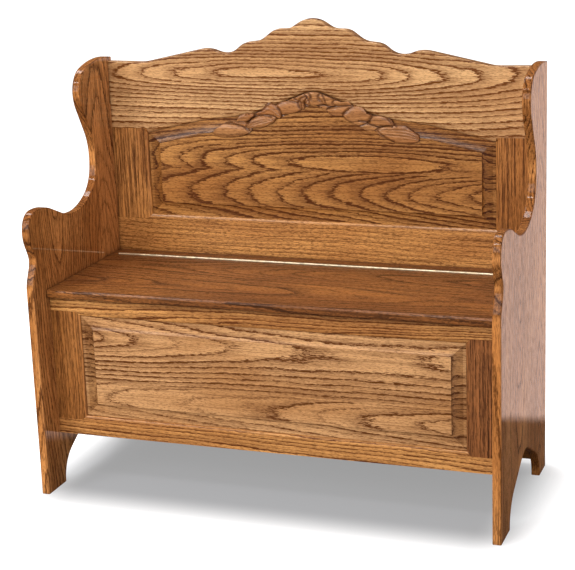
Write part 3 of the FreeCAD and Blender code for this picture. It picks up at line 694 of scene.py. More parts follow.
# Darker than the other stains: partly the seat's own colour, partly painted shade of its top
SEAT_STAIN = Stain(srgb(158, 98, 47), srgb(132, 78, 36), srgb(68, 36, 14), srgb(54, 27, 9),
                   coat=0.45)
END_STAIN = Stain(srgb(218, 148, 84), srgb(186, 118, 60), srgb(98, 54, 22), srgb(76, 40, 14),
                  gloss=0.6, coat=1.0, coat_rough=0.01, edge=0.3, sheen=0.12)
CARVED_STAIN = Stain(srgb(184, 128, 77), srgb(160, 102, 57), srgb(90, 50, 22), srgb(72, 38, 16),
                     gloss=0.42, coat_rough=0.22)
CLEAT_STAIN = Stain(srgb(198, 150, 102), srgb(176, 126, 80), srgb(140, 92, 52), srgb(110, 70, 38),
                    gloss=0.55, coat=0.25, coat_rough=0.3)


FACE_DENT = (0.35, 0.0004)  # how much of the figure's relief shows, and its height in metres
PORE_DULL = 0.45  # share of the varnish's weight that a pore takes away
AMBER: Colour = (1.0, 0.82, 0.62)  # tint of the reflection under the varnish


@dataclass(frozen=True)
class OakFinish:
    """A whole oak material: its grain direction, its staves and its stain.

    Attributes:
        name: The material's name.
        grain: Which way the grain runs.
        staves: Its boards, in order across the width, each up to its own until.
        stain: Its colours.
        band_width: How much of each ring is dark.
        weights: How strongly bands, pores and lines show.
        pore_size: Length and width of the dark dashes.
        reach: How far from a surface the painted shade and caught stain in corners reach, in metres.
        soak: How far a surface turns across the grain before it takes stain as end grain.
        cavity_shade: Name of an attribute that paints shade and caught stain into recesses, if the
            mesh has one.
    """

    name: str
    grain: Grain
    staves: tuple[Stave, ...]
    stain: Stain
    band_width: float = 0.3
    weights: tuple[float, float, float] = (1.1, 0.45, 0.4)
    pore_size: tuple[float, float] = (0.010, 0.0017)
    reach: float = 0.014
    soak: float = 0.3
    cavity_shade: str = ""

    def board_space(self, graph: Graph) -> bpy.types.NodeSocket:
        """Turn object coordinates into along, across and into the board.

        Args:
            graph: The material's tree.

        Returns:
            The board vector's socket.
        """
        place = graph.add("ShaderNodeTexCoord").outputs["Object"]
        axes = dict(zip("XYZ", graph.split(place)))
        return graph.combine(*(axes[name] for name in self.grain.value))

    def rings(self, graph: Graph, board: bpy.types.NodeSocket) -> dict[str, bpy.types.NodeSocket]:
        """Count the rings of every stave and pick the one for each place.

        Args:
            graph: The material's tree.
            board: The board vector's socket.

        Returns:
            The sockets of the ring count and the ring spacing.
        """
        across = graph.split(board)[1]
        found: dict[str, Any] = {}
        edge: Any = None
        for stave in self.staves:
            node = GrowthRings().place(
                graph, Board=board, Centre=stave.centre, Depth=stave.depth, Tilt=stave.tilt,
                Count=stave.count(), Power=stave.power, Below=stave.below,
                Bow=stave.bow, Pinch=stave.pinch, Wander=stave.wander, Seed=stave.seed)
            past = graph.math("GREATER_THAN", across, edge) if found else None
            for name in ("Rings", "Spacing"):
                own = node.outputs[name]
                if past:
                    gap = graph.math("SUBTRACT", own, found[name])
                    own = graph.math("MULTIPLY_ADD", past, gap, found[name])
                found[name] = own
            edge = stave.until
        return found

    def build(self) -> bpy.types.Material:
        """Make the material.

        Returns:
            The new material.
        """
        material, graph, shader = blank(self.name)
        board, stain = self.board_space(graph), self.stain
        figure = OakFigure().place(graph, Board=board, Band_Width=self.band_width,
                                   Pore_Length=self.pore_size[0], Pore_Width=self.pore_size[1],
                                   Seed=self.staves[0].seed, **self.rings(graph, board))
        values = {name: figure.outputs[name] for name in ("Bands", "Pores", "Lines", "Clouds")}
        # painted shade in the carving's recesses, with caught stain, read from the mesh
        if self.cavity_shade:
            hollow_shade = graph.add("ShaderNodeAttribute", attribute_name=self.cavity_shade)
            values["CavityShade"] = hollow_shade.outputs["Fac"]
        along, _, face = ([float(axis == name) for axis in "XYZ"] for name in self.grain.value)
        # this group gives the end grain, the flat varnish and the painted shade in corners
        stain_and_shade = StainAndPaintedShade().place(graph, Along=along, Face=face, Reach=self.reach,
                                     Soak=self.soak)
        stained = OakStainAndShade().place(
            graph, Pale=stain.pale, Body=stain.body, Dark=stain.dark, Pore=stain.pore,
            Gloss=stain.gloss, Band_Weight=self.weights[0], Pore_Weight=self.weights[1],
            Line_Weight=self.weights[2], End_Grain=stain_and_shade.outputs["End Grain"],
            Corner=stain_and_shade.outputs["Corner"], **values)
        worn = graph.math("MULTIPLY_ADD", stain_and_shade.outputs["Flat"], 1 - stain.edge, stain.edge)
        sunk = graph.math("MULTIPLY_ADD", values["Pores"], -PORE_DULL, 1.0)
        coat = graph.math("MULTIPLY", graph.math("MULTIPLY", worn, sunk), stain.coat)
        for name, value in (
                ("Base Color", stained.outputs["Colour"]),
                ("Roughness", stained.outputs["Roughness"]),
                ("Normal", graph.bump(stained.outputs["Height"], *FACE_DENT)),
                ("Coat Weight", coat), ("Coat Roughness", stain.coat_rough),
                ("Specular IOR Level", stain.sheen), ("Specular Tint", AMBER)):
            graph.feed(shader.inputs[name], value)
        return material


@dataclass(frozen=True)
class MetalFinish:
    """A plain metal with fine scratches and slightly uneven sheen.

    Attributes:
        name: The material's name.
        colour: The metal's colour.
        rough: Its roughness.
        scratches: Scale of the scratches, along and across the metal.
        scratched: Roughness that a scratch adds.
        dent: How much of the scratches' relief shows, and its height in metres.
        patches: Scale of the duller patches.
        patch_edge: Noise values between which such a patch starts.
        dull: What such a patch leaves of the colour.
    """

    name: str
    colour: Colour
    rough: float
    scratches: tuple[float, float] = (60.0, 2500.0)
    scratched: float = 0.18
    dent: tuple[float, float] = (0.2, 0.0001)
    patches: float = 90.0
    patch_edge: tuple[float, float] = (0.35, 0.75)
    dull: float = 0.62

    def build(self) -> bpy.types.Material:
        """Make the material.

        Returns:
            The new material.
        """
        material, graph, shader = blank(self.name)
        place = graph.add("ShaderNodeTexCoord").outputs["Object"]
        scratches = graph.noise(graph.stretch(place, *self.scratches))
        patches = graph.smooth(graph.noise(place, self.patches, 3.0), *self.patch_edge)
        dull = tuple(self.dull * value for value in self.colour)
        rough = graph.math("MULTIPLY_ADD", scratches, self.scratched, self.rough)
        for name, value in (("Base Color", graph.mix(patches, self.colour, dull)),
                            ("Metallic", 1.0), ("Roughness", rough),
                            ("Normal", graph.bump(scratches, *self.dent))):
            graph.feed(shader.inputs[name], value)
        return material


def dress(names: Sequence[str], material: bpy.types.Material, nodes: Pieces) -> None:
    """Give one material to some of the bench's pieces.

    Args:
        names: The pieces' names.
        material: The material.
        nodes: Every piece by name.
    """
    for name in names:
        mesh = nodes[name].data
        mesh.materials.clear()
        mesh.materials.append(material)


# The bench's sub-assemblies

# Straight-grained boards show pores and lines more than ring bands.
END_WEIGHTS, END_PORES = (1.0, 0.5, 0.6), (0.016, 0.0018)
STILE_BANDS, STILE_WEIGHTS, STILE_PORES = 0.26, (0.55, 0.5, 0.8), (0.020, 0.0015)
CLEAT_BANDS = 0.6
PANEL_SOAK = 0.04  # a raised panel's bevels cut across the grain and drink stain


@dataclass
class EndBoards:
    """The two scrolled end boards, each with upright grain.

    Attributes:
        left: Finish of the left board.
        right: Finish of the right board.
    """

    left: OakFinish = OakFinish(
        "Left end oak", Grain.UP_SIDE,
        (Stave(-0.10, 0.62, -0.10, 0.0075, 0.03, 3.1, until=0.05),
         Stave(0.14, 0.60, 0.09, 0.006, 0.02, 9.4)),
        END_STAIN, weights=END_WEIGHTS, pore_size=END_PORES)
    right: OakFinish = OakFinish(
        "Right end oak", Grain.UP_SIDE,
        (Stave(-0.05, -0.60, 0.08, 0.008, 0.03, 14.2, until=0.06),
         Stave(0.16, -0.58, -0.09, 0.007, 0.02, 21.7)),
        END_STAIN, weights=END_WEIGHTS, pore_size=END_PORES)

    def build(self, nodes: Pieces) -> None:
        """Dress both boards.

        Args:
            nodes: Every piece by name.
        """
        dress(["left_end_board"], self.left.build(), nodes)
        dress(["right_end_board"], self.right.build(), nodes)


@dataclass
class FrontFrame:
    """The panelled front below the seat.

    Attributes:
        panel: Finish of the raised panel.
        rails: Finish of the top and bottom rails.
        left: Finish of the left stile.
        right: Finish of the right stile, which is darker.
    """

    panel: OakFinish = OakFinish(
        "Front panel oak", Grain.ACROSS_FRONT,
        (Stave(0.222, 0.2215, -0.052, 0.0085, 0.012, 31.0, until=0.258),
         Stave(0.362, 0.214, 0.05, 0.010, 0.012, 36.5, power=1.0, bow=-0.10)),
        FRONT_STAIN, soak=PANEL_SOAK)
    rails: OakFinish = OakFinish(
        "Front rail oak", Grain.ACROSS_FRONT,
        (Stave(0.09, 0.20, 0.03, 0.008, 0.02, 41.0, until=0.3),
         Stave(0.39, 0.19, -0.03, 0.008, 0.02, 43.0)),
        RAIL_STAIN)
    left: OakFinish = OakFinish(
        "Front left stile oak", Grain.UP_FRONT,
        (Stave(-0.40, 0.20, 0.02, 0.007, 0.012, 47.0),),
        STILE_STAIN, STILE_BANDS, STILE_WEIGHTS, STILE_PORES)
    right: OakFinish = OakFinish(
        "Front right stile oak", Grain.UP_FRONT,
        (Stave(0.38, 0.20, 0.02, 0.007, 0.012, 51.0),),
        DARK_STILE_STAIN, STILE_BANDS, STILE_WEIGHTS, STILE_PORES)

    def build(self, nodes: Pieces) -> None:
        """Dress the front.

        Args:
            nodes: Every piece by name.
        """
        dress(["front_raised_panel"], self.panel.build(), nodes)
        dress(["front_top_rail", "front_bottom_rail"], self.rails.build(), nodes)
        dress(["front_left_stile"], self.left.build(), nodes)
        dress(["front_right_stile"], self.right.build(), nodes)


@dataclass
class BackFrame:
    """The panelled back with its crest rail.

    Attributes:
        crest: Finish of the shaped crest rail.
        panel: Finish of the raised panel.
        lower: Finish of the lower rail.
        left: Finish of the left stile.
        right: Finish of the right stile.
    """

    crest: OakFinish = OakFinish(
        "Crest oak", Grain.ACROSS_FRONT,
        (Stave(0.905, -0.1804, 0.01448, 0.011, 0.012, 61.0, power=0.1, bow=0.0905),),
        CREST_STAIN, 0.34, (1.25, 0.4, 0.3))
    panel: OakFinish = OakFinish(
        "Back panel oak", Grain.ACROSS_FRONT,
        (Stave(0.632, -0.121, -0.08, 0.006, 0.010, 66.0, until=0.678, below=0.8, pinch=0.008),
         Stave(0.698, -0.1675, -0.034, 0.009, 0.012, 71.0, power=0.2, bow=0.10)),
        BACK_STAIN, 0.45, (1.25, 0.5, 0.45), soak=PANEL_SOAK)
    lower: OakFinish = OakFinish(
        "Back lower rail oak", Grain.ACROSS_FRONT,
        (Stave(0.40, -0.12, 0.03, 0.007, 0.02, 76.0),),
        RAIL_STAIN, 0.26, (0.4, 0.6, 0.5))
    left: OakFinish = OakFinish(
        "Back left stile oak", Grain.UP_FRONT,
        (Stave(-0.36, -0.15, 0.02, 0.006, 0.012, 81.0),),
        STILE_STAIN, STILE_BANDS, STILE_WEIGHTS, STILE_PORES)
    right: OakFinish = OakFinish(
        "Back right stile oak", Grain.UP_FRONT,
        (Stave(0.37, -0.15, 0.02, 0.007, 0.012, 86.0),),
        STILE_STAIN, STILE_BANDS, STILE_WEIGHTS, STILE_PORES)

    def build(self, nodes: Pieces) -> None:
        """Dress the back.

        Args:
            nodes: Every piece by name.
        """
        dress(["crest_rail"], self.crest.build(), nodes)
        dress(["back_raised_panel"], self.panel.build(), nodes)
        dress(["back_lower_rail"], self.lower.build(), nodes)
        dress(["back_left_stile"], self.left.build(), nodes)
        dress(["back_right_stile"], self.right.build(), nodes)


@dataclass(frozen=True)
class Lobe:
    """One leaf, fold or cut of the carving, in millimetres across and above the floor.

    Attributes:
        spine: Points of its middle line, as across, up and half width.
        height: How far its ridge stands out from the frame's face, or how deep a cut goes.
        veins: How many grooves run along it.
        steps: Straight steps that a stretch of the spine between two points is rounded with.
    """

    spine: tuple[tuple[float, float, float], ...]
    height: float = 4.6
    veins: int = 0
    steps: int = 5

    def rounded(self) -> np.ndarray:
        """Round the spine: a cubic through its points, whose slope at each joins its neighbours.

        Returns:
            Points along the curve, as across, up and half width.
        """
        points = np.array(self.spine, float)
        first, last = 2 * points[:1] - points[1:2], 2 * points[-1:] - points[-2:-1]
        chain = np.concatenate([first, points, last])
        a, b, c, d = chain[:-3], chain[1:-2], chain[2:-1], chain[3:]
        t = np.linspace(0, 1, self.steps, endpoint=False)[None, :, None]
        a, b, c, d = (item[:, None, :] for item in (a, b, c, d))
        curve = b + (c - a) * t / 2 + (2 * a - 5 * b + 4 * c - d) * t ** 2 / 2
        curve = curve + (3 * b - a - 3 * c + d) * t ** 3 / 2
        return np.concatenate([curve.reshape(-1, 3), points[-1:]])

    def feel(self, x: np.ndarray, z: np.ndarray) -> tuple[np.ndarray, np.ndarray]:
        """Measure every point against the lobe's spine.

        For each point, the nearest place on each step of the spine gives a distance, which is
        divided by the half width there, and the smallest share wins.

        Args:
            x: Distances across, in millimetres.
            z: Heights, in millimetres.

        Returns:
            The share of the half width, with the spine's side as its sign, and the half width.
        """
        best = np.full(x.shape, np.inf)
        share = np.full(x.shape, np.inf)
        width = np.ones(x.shape)
        chain = self.rounded()
        for (ax, az, aw), (bx, bz, bw) in zip(chain, chain[1:]):
            run_x, run_z = bx - ax, bz - az
            place = ((x - ax) * run_x + (z - az) * run_z) / (run_x ** 2 + run_z ** 2)
            place = np.clip(place, 0, 1)
            off_x, off_z = x - ax - place * run_x, z - az - place * run_z
            here = aw + place * (bw - aw)
            away = np.hypot(off_x, off_z) / here
            closer = away < best
            side = np.where(off_z * run_x > off_x * run_z, 1.0, -1.0)
            best = np.where(closer, away, best)
            share = np.where(closer, away * side, share)
            width = np.where(closer, here, width)
        return share, width


@dataclass
class Carving:
    """The carved leaves on the arched margin, as a relief inside the solid's own outline.

    Attributes:
        face: How far back the frame's face lies, in metres.
        foot: How deep the carving is let into the panel, in metres.
        columns: Columns of points across.
        rows: Rows of points up.
        ground: Depths below the face of the ground between leaves, below and above, in millimetres.
        least: Wood left over the deepest ground, in millimetres.
        rim: Height of each leaf's edge, in millimetres.
        roundness: Power that rounds a leaf's section, where 2 is a half ellipse.
        vein: Depth of the veins, in millimetres.
        vein_end: Share of the half width past 1 at which the veins have run out.
        groove: Depth of the cut beside each leaf, in millimetres.
        groove_width: Width of that cut, in millimetres.
        passes: Smoothing passes that give a place its surroundings' height.
        full_shade_depth: Depth below the surroundings that takes the darkest painted shade and caught
            stain, in millimetres.
        finish: Finish of the carved leaves.
        lobes: The leaves and folds, where later ones lie over earlier ones.
        cuts: The carver's cuts into them.
    """

    face: float = 0.211
    foot: float = 0.0066
    columns: int = 820
    rows: int = 72
    ground: tuple[float, float] = (1.0, 5.0)
    least: float = 0.2
    rim: float = 0.8
    roundness: float = 2.4
    vein: float = 0.8
    vein_end: float = 0.15
    groove: float = 1.5
    groove_width: float = 2.6
    passes: int = 110
    full_shade_depth: float = 0.9
    finish: OakFinish = OakFinish(
        "Carved oak", Grain.ACROSS_FRONT, (Stave(0.692, -0.096, -0.09, 0.0065, 0.012, 71.0),),
        CARVED_STAIN, 0.2, (0.5, 0.4, 0.5), reach=0.004, cavity_shade="hollow_shade")
    lobes: tuple[Lobe, ...] = (
        Lobe(((-22, 848, 12), (-8, 849, 15), (8, 849, 15), (24, 848, 12)), 3.6),
        Lobe(((112, 788, 7), (122, 789, 10), (134, 786, 9), (150, 781, 5)), 1.4),
        Lobe(((20, 852, 8), (32, 847, 12), (46, 844, 12), (60, 840, 8)), 4.2),
        Lobe(((52, 840, 5), (66, 838, 9), (82, 838, 9), (97, 834, 4)), 3.8),
        Lobe(((34, 823, 2), (46, 820, 9), (62, 821, 12), (78, 822, 13), (92, 824, 9)), 4.4),
        Lobe(((172, 808, 3), (182, 801, 6), (193, 793, 5), (204, 789, 2)), 3.4),
        Lobe(((126, 807, 5), (142, 802, 11), (160, 800, 12), (176, 797, 9), (190, 791, 3)), 4.8),
        Lobe(((76, 811, 5), (88, 811, 15), (104, 811, 22), (119, 811, 17), (132, 812, 8)), 5.3),
        Lobe(((150, 778, 3), (164, 774, 12), (182, 772, 18), (205, 771, 21), (228, 768, 18),
              (242, 764, 12), (251, 759, 4)), 5.3, veins=5),
        Lobe(((-14, 852, 8), (-26, 848, 11), (-42, 844, 12), (-60, 839, 7)), 4.0),
        Lobe(((-32, 828, 7), (-46, 828, 13), (-62, 827, 15), (-78, 824, 14), (-89, 820, 8)), 4.6),
        Lobe(((-24, 826, 4), (-29, 834, 7), (-27, 843, 6), (-18, 850, 3)), 4.8),
        Lobe(((-84, 806, 5), (-94, 815, 13), (-108, 822, 15), (-122, 817, 11), (-136, 810, 4)),
             5.1, veins=2),
        Lobe(((-150, 807, 3), (-166, 802, 9), (-182, 796, 10), (-197, 790, 4)), 3.2),
        Lobe(((-195, 787, 2), (-178, 784, 7), (-164, 779, 9), (-156, 770, 6), (-160, 762, 2)), 4.8),
        Lobe(((-95, 801, 4), (-108, 797, 11), (-124, 794, 14), (-142, 789, 13), (-156, 783, 7),
              (-165, 778, 3)), 5.3, veins=4),
        Lobe(((-160, 768, 3), (-176, 769, 11), (-198, 769, 15), (-224, 769, 16), (-246, 770, 13),
              (-259, 774, 5)), 5.2),
    )
    cuts: tuple[Lobe, ...] = (
        Lobe(((22, 858, 1.6), (28, 846, 1.6), (30, 834, 1.6)), 1.6),
        Lobe(((37, 826, 1.8), (60, 831, 1.8), (92, 835, 1.8)), 2.2),
        Lobe(((110, 800, 2), (122, 799, 2.4), (134, 799, 2)), 2.6),
        Lobe(((128, 792, 1.8), (146, 791, 1.8), (166, 790, 1.8), (186, 789, 1.8)), 2.2),
        Lobe(((175, 809, 1.6), (184, 798, 1.6), (197, 789, 1.6)), 1.8),
        Lobe(((152, 778, 2), (168, 764, 3), (188, 754, 3)), 2.2),
        Lobe(((-46, 847, 1.6), (-31, 840, 1.8), (-27, 826, 1.6)), 2.0),
        Lobe(((-20, 857, 1.6), (-12, 846, 1.6), (-9, 836, 1.6)), 1.6),
        Lobe(((-166, 808, 2), (-128, 821, 2.6), (-108, 835, 2.4), (-88, 840, 2)), 2.2),
        Lobe(((-160, 808, 1.6), (-130, 808, 1.6), (-103, 804, 1.6)), 2.0),
        Lobe(((-192, 786, 1.4), (-174, 780, 1.4), (-160, 769, 1.4)), 1.6),
    )

    def envelope(self, mesh: bpy.types.Mesh, across: np.ndarray) -> tuple[np.ndarray, np.ndarray]:
        """Find the solid's lowest and highest points at each distance across.

        Every edge of the solid that spans a distance is cut there, and the lowest and highest
        cuts are kept.

        Args:
            mesh: The solid's mesh.
            across: Distances across, in metres.

        Returns:
            The lower and upper heights, in metres.
        """
        points = np.empty(len(mesh.vertices) * 3)
        mesh.vertices.foreach_get("co", points)
        points = points.reshape(-1, 3)
        ends = np.empty(len(mesh.edges) * 2, dtype=np.int64)
        mesh.edges.foreach_get("vertices", ends)
        first, last = points[ends[0::2]], points[ends[1::2]]
        span = last[:, :1] - first[:, :1]
        span = np.where(np.abs(span) < 1e-9, 1e-9, span)
        place = (across[None, :] - first[:, :1]) / span
        height = first[:, 2:] + place * (last[:, 2:] - first[:, 2:])
        cut = (place >= 0) & (place <= 1)
        return (np.where(cut, height, np.inf).min(0), np.where(cut, height, -np.inf).max(0))

    def relief(self, x: np.ndarray, z: np.ndarray, rise: np.ndarray) -> np.ndarray:
        """Work out how far the carving stands out from the frame's face.

        Lobes are laid one over the other. A lobe is a rounded ridge over its spine, with veins
        as cosine waves across it, and it cuts a soft groove into whatever lies beside it.

        Args:
            x: Distances across, in millimetres.
            z: Heights, in millimetres.
            rise: Share of the way from the lower to the upper outline.

        Returns:
            The relief, in millimetres.
        """
        low, high = self.ground
        height = -(low + (high - low) * rise ** 2)
        for lobe in self.lobes:
            share, width = lobe.feel(x, z)
            away = np.abs(share)
            dome = np.clip(1 - away ** self.roundness, 0, 1) ** 0.5
            wave = 0.5 - 0.5 * np.cos(share * math.pi * (lobe.veins + 1)) if lobe.veins else 0.0
            ridge = self.rim + (lobe.height - self.rim) * dome
            ridge = ridge - self.vein * wave * np.clip(1 + self.vein_end - away, 0, 1)
            beside = np.exp(-(((away - 1) * width) / self.groove_width) ** 2)
            height = np.where(away < 1, ridge, height - self.groove * beside)
        for cut in self.cuts:
            share, _ = cut.feel(x, z)
            height = height - cut.height * np.exp(-share ** 2)
        return np.maximum(height, self.least - high)

    def shade_in_recesses(self, height: np.ndarray) -> np.ndarray:
        """Find the places lower than their surroundings, where shade is painted along with caught
        stain.

        Args:
            height: The relief on its grid, in millimetres.

        Returns:
            How far each point lies below its surroundings, as painted shade from 0 to 1.
        """
        smooth = height
        for _ in range(self.passes):
            padded = np.pad(smooth, 1, mode="edge")
            smooth = (padded[:-2, 1:-1] + padded[2:, 1:-1] + padded[1:-1, :-2]
                      + padded[1:-1, 2:] + smooth) / 5
        return np.clip((smooth - height) / self.full_shade_depth, 0, 1)

    def build(self, nodes: Pieces) -> None:
        """Make the relief as a closed mesh in place of the plain solid.

        Args:
            nodes: Every piece by name.
        """
        solid = nodes["carved_band"].data
        half = max(abs(corner_shade[0]) for corner_shade in nodes["carved_band"].bound_box)
        across = np.linspace(-half, half, self.columns + 2)[1:-1]
        low, high = self.envelope(solid, across)
        steps = np.linspace(0, 1, self.rows)
        x = np.repeat(across[:, None], self.rows, 1)
        z = low[:, None] + (high - low)[:, None] * steps[None, :]
        height = self.relief(x * 1000, z * 1000, np.broadcast_to(steps, x.shape))
        front = np.stack([x, self.face - height / 1000, z], -1).reshape(-1, 3)
        behind = np.full(self.columns, self.face + self.foot)
        rear = np.concatenate([np.stack([across, behind, edge], -1) for edge in (low, high)])
        index = np.arange(self.columns * self.rows).reshape(self.columns, self.rows)
        count = len(front)
        under = count + np.arange(self.columns)
        over = under + self.columns
        quads = np.stack([index[:-1, :-1], index[1:, :-1], index[1:, 1:], index[:-1, 1:]], -1)
        back = np.stack([under[1:], under[:-1], over[:-1], over[1:]], -1)
        bottom = np.stack([index[1:, 0], index[:-1, 0], under[:-1], under[1:]], -1)
        top = np.stack([index[:-1, -1], index[1:, -1], over[1:], over[:-1]], -1)
        faces = np.concatenate([quads.reshape(-1, 4), back, bottom, top]).tolist()
        faces.append(index[0].tolist() + [int(over[0]), int(under[0])])
        faces.append(index[-1][::-1].tolist() + [int(under[-1]), int(over[-1])])
        mesh = bpy.data.meshes.new("Carved leaves")
        mesh.from_pydata(np.concatenate([front, rear]).tolist(), [], faces)
        mesh.polygons.foreach_set("use_smooth", np.arange(len(faces)) < quads.size // 4)
        # painted shade: points below their surroundings are darkened, as shade and caught stain
        hollow_shade = mesh.attributes.new("hollow_shade", "FLOAT", "POINT")
        hollow_shade.data.foreach_set("value", np.concatenate([self.shade_in_recesses(height).ravel(),
                                                         np.zeros(len(rear))]))
        mesh.update()
        mesh.materials.append(self.finish.build())
        piece = bpy.data.objects.new("carved_leaves", mesh)
        bpy.context.collection.objects.link(piece)
        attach(piece, "bench")
        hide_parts("carved_band")


@dataclass
class Seat:
    """The hinged lid, the fixed strip behind it and the brass hinge.

    Attributes:
        lid: Finish of the lid and the strip.
        brass: Finish of the hinge's leaves and screws.
        pin: Finish of its pin.
    """

    lid: OakFinish = OakFinish(
        "Seat oak", Grain.ACROSS_TOP,
        (Stave(-0.06, -0.40, 0.05, 0.009, 0.03, 91.0, until=0.0),
         Stave(0.08, -0.40, -0.06, 0.008, 0.03, 95.0)),
        SEAT_STAIN, weights=(1.0, 0.6, 0.7))
    brass: MetalFinish = MetalFinish("Brass", (0.88, 0.76, 0.52), 0.34)
    pin: MetalFinish = MetalFinish("Plated pin", (0.82, 0.76, 0.60), 0.3)

    def build(self, nodes: Pieces) -> None:
        """Dress the seat and its hinge.

        Args:
            nodes: Every piece by name.
        """
        dress(["seat_lid", "seat_strip"], self.lid.build(), nodes)
        dress(["hinge_lid_leaf", "hinge_fixed_leaf", "hinge_lid_screws", "hinge_fixed_screws"],
              self.brass.build(), nodes)
        dress(["hinge_pin"], self.pin.build(), nodes)


@dataclass
class StorageBox:
    """The box under the seat: boards, cleats, ledgers, battens and screws.

    Attributes:
        ply: Finish of the back board.
        floor: Finish of the floor.
        long: Finish of the cleats that run across the bench.
        short: Finish of the cleats that run front to back.
        upright: Finish of the corner cleats.
        steel: Finish of the screws.
    """

    ply: OakFinish = OakFinish(
        "Oak plywood", Grain.ACROSS_FRONT,
        (Stave(0.2, 0.35, 0.12, 0.010, 0.05, 101.0),), STILE_STAIN)
    floor: OakFinish = OakFinish(
        "Floor plywood", Grain.ACROSS_TOP,
        (Stave(0.0, 0.35, 0.12, 0.010, 0.05, 104.0),), STILE_STAIN)
    long: OakFinish = OakFinish(
        "Long cleat wood", Grain.ACROSS_FRONT,
        (Stave(0.6, 0.2, 0.05, 0.006, 0.02, 107.0),), CLEAT_STAIN, CLEAT_BANDS)
    short: OakFinish = OakFinish(
        "Short cleat wood", Grain.BACK_TOP,
        (Stave(0.8, 0.2, 0.05, 0.006, 0.02, 111.0),), CLEAT_STAIN, CLEAT_BANDS)
    upright: OakFinish = OakFinish(
        "Upright cleat wood", Grain.UP_FRONT,
        (Stave(0.8, 0.2, 0.05, 0.006, 0.02, 115.0),), CLEAT_STAIN, CLEAT_BANDS)
    steel: MetalFinish = MetalFinish("Zinc-plated steel", (0.66, 0.66, 0.69), 0.32)

    def build(self, nodes: Pieces) -> None:
        """Dress the box.

        Args:
            nodes: Every piece by name.
        """
        dress(["box_back_board"], self.ply.build(), nodes)
        dress(["box_floor"], self.floor.build(), nodes)
        dress(["floor_front_cleat", "floor_back_cleat", "seat_back_ledger",
               "front_frame_dowels", "back_frame_dowels"], self.long.build(), nodes)
        dress(["floor_left_cleat", "floor_right_cleat", "seat_left_ledger", "seat_right_ledger",
               "lid_batten_1", "lid_batten_2", "lid_batten_3"], self.short.build(), nodes)
        dress(["box_left_corner_cleat", "box_right_corner_cleat"], self.upright.build(), nodes)
        dress(["floor_cleat_screws", "seat_ledger_screws", "back_board_screws",
               "lid_batten_screws"], self.steel.build(), nodes)


# Studio and camera


WHITE: Colour = (1.0, 1.0, 1.0)


def stand(piece: bpy.types.Object, place: Sequence[float], right: np.ndarray, up: np.ndarray,
          forward: np.ndarray) -> None:
    """Put a lamp or a camera in the scene.

    Args:
        piece: The lamp or camera.
        place: Where it stands, in metres.
        right: Direction of its right side.
        up: Direction of its top.
        forward: Direction in which it looks.
    """
    rows = [[right[row], up[row], -forward[row], place[row]] for row in range(3)]
    piece.matrix_world = Matrix(rows + [[0, 0, 0, 1]])
    bpy.context.collection.objects.link(piece)


@dataclass(frozen=True)
class Lamp:
    """A square area lamp.

    Attributes:
        name: Its name.
        place: Where it hangs, in metres.
        size: Its side, in metres.
        power: Its power, in watts.
        aim: The point it shines at.
    """

    name: str
    place: tuple[float, float, float]
    size: float
    power: float
    aim: tuple[float, float, float] = (0.0, 0.0, 0.5)

    def build(self) -> None:
        """Hang the lamp with two of its sides level."""
        data = bpy.data.lights.new(self.name, "AREA")
        data.shape = "SQUARE"
        data.size = self.size
        data.energy = self.power
        way = np.array(self.aim) - np.array(self.place)
        way /= np.linalg.norm(way)
        side = np.cross(way, (0.0, 0.0, 1.0))
        side /= np.linalg.norm(side)
        stand(bpy.data.objects.new(self.name, data), self.place, side, np.cross(side, way), way)


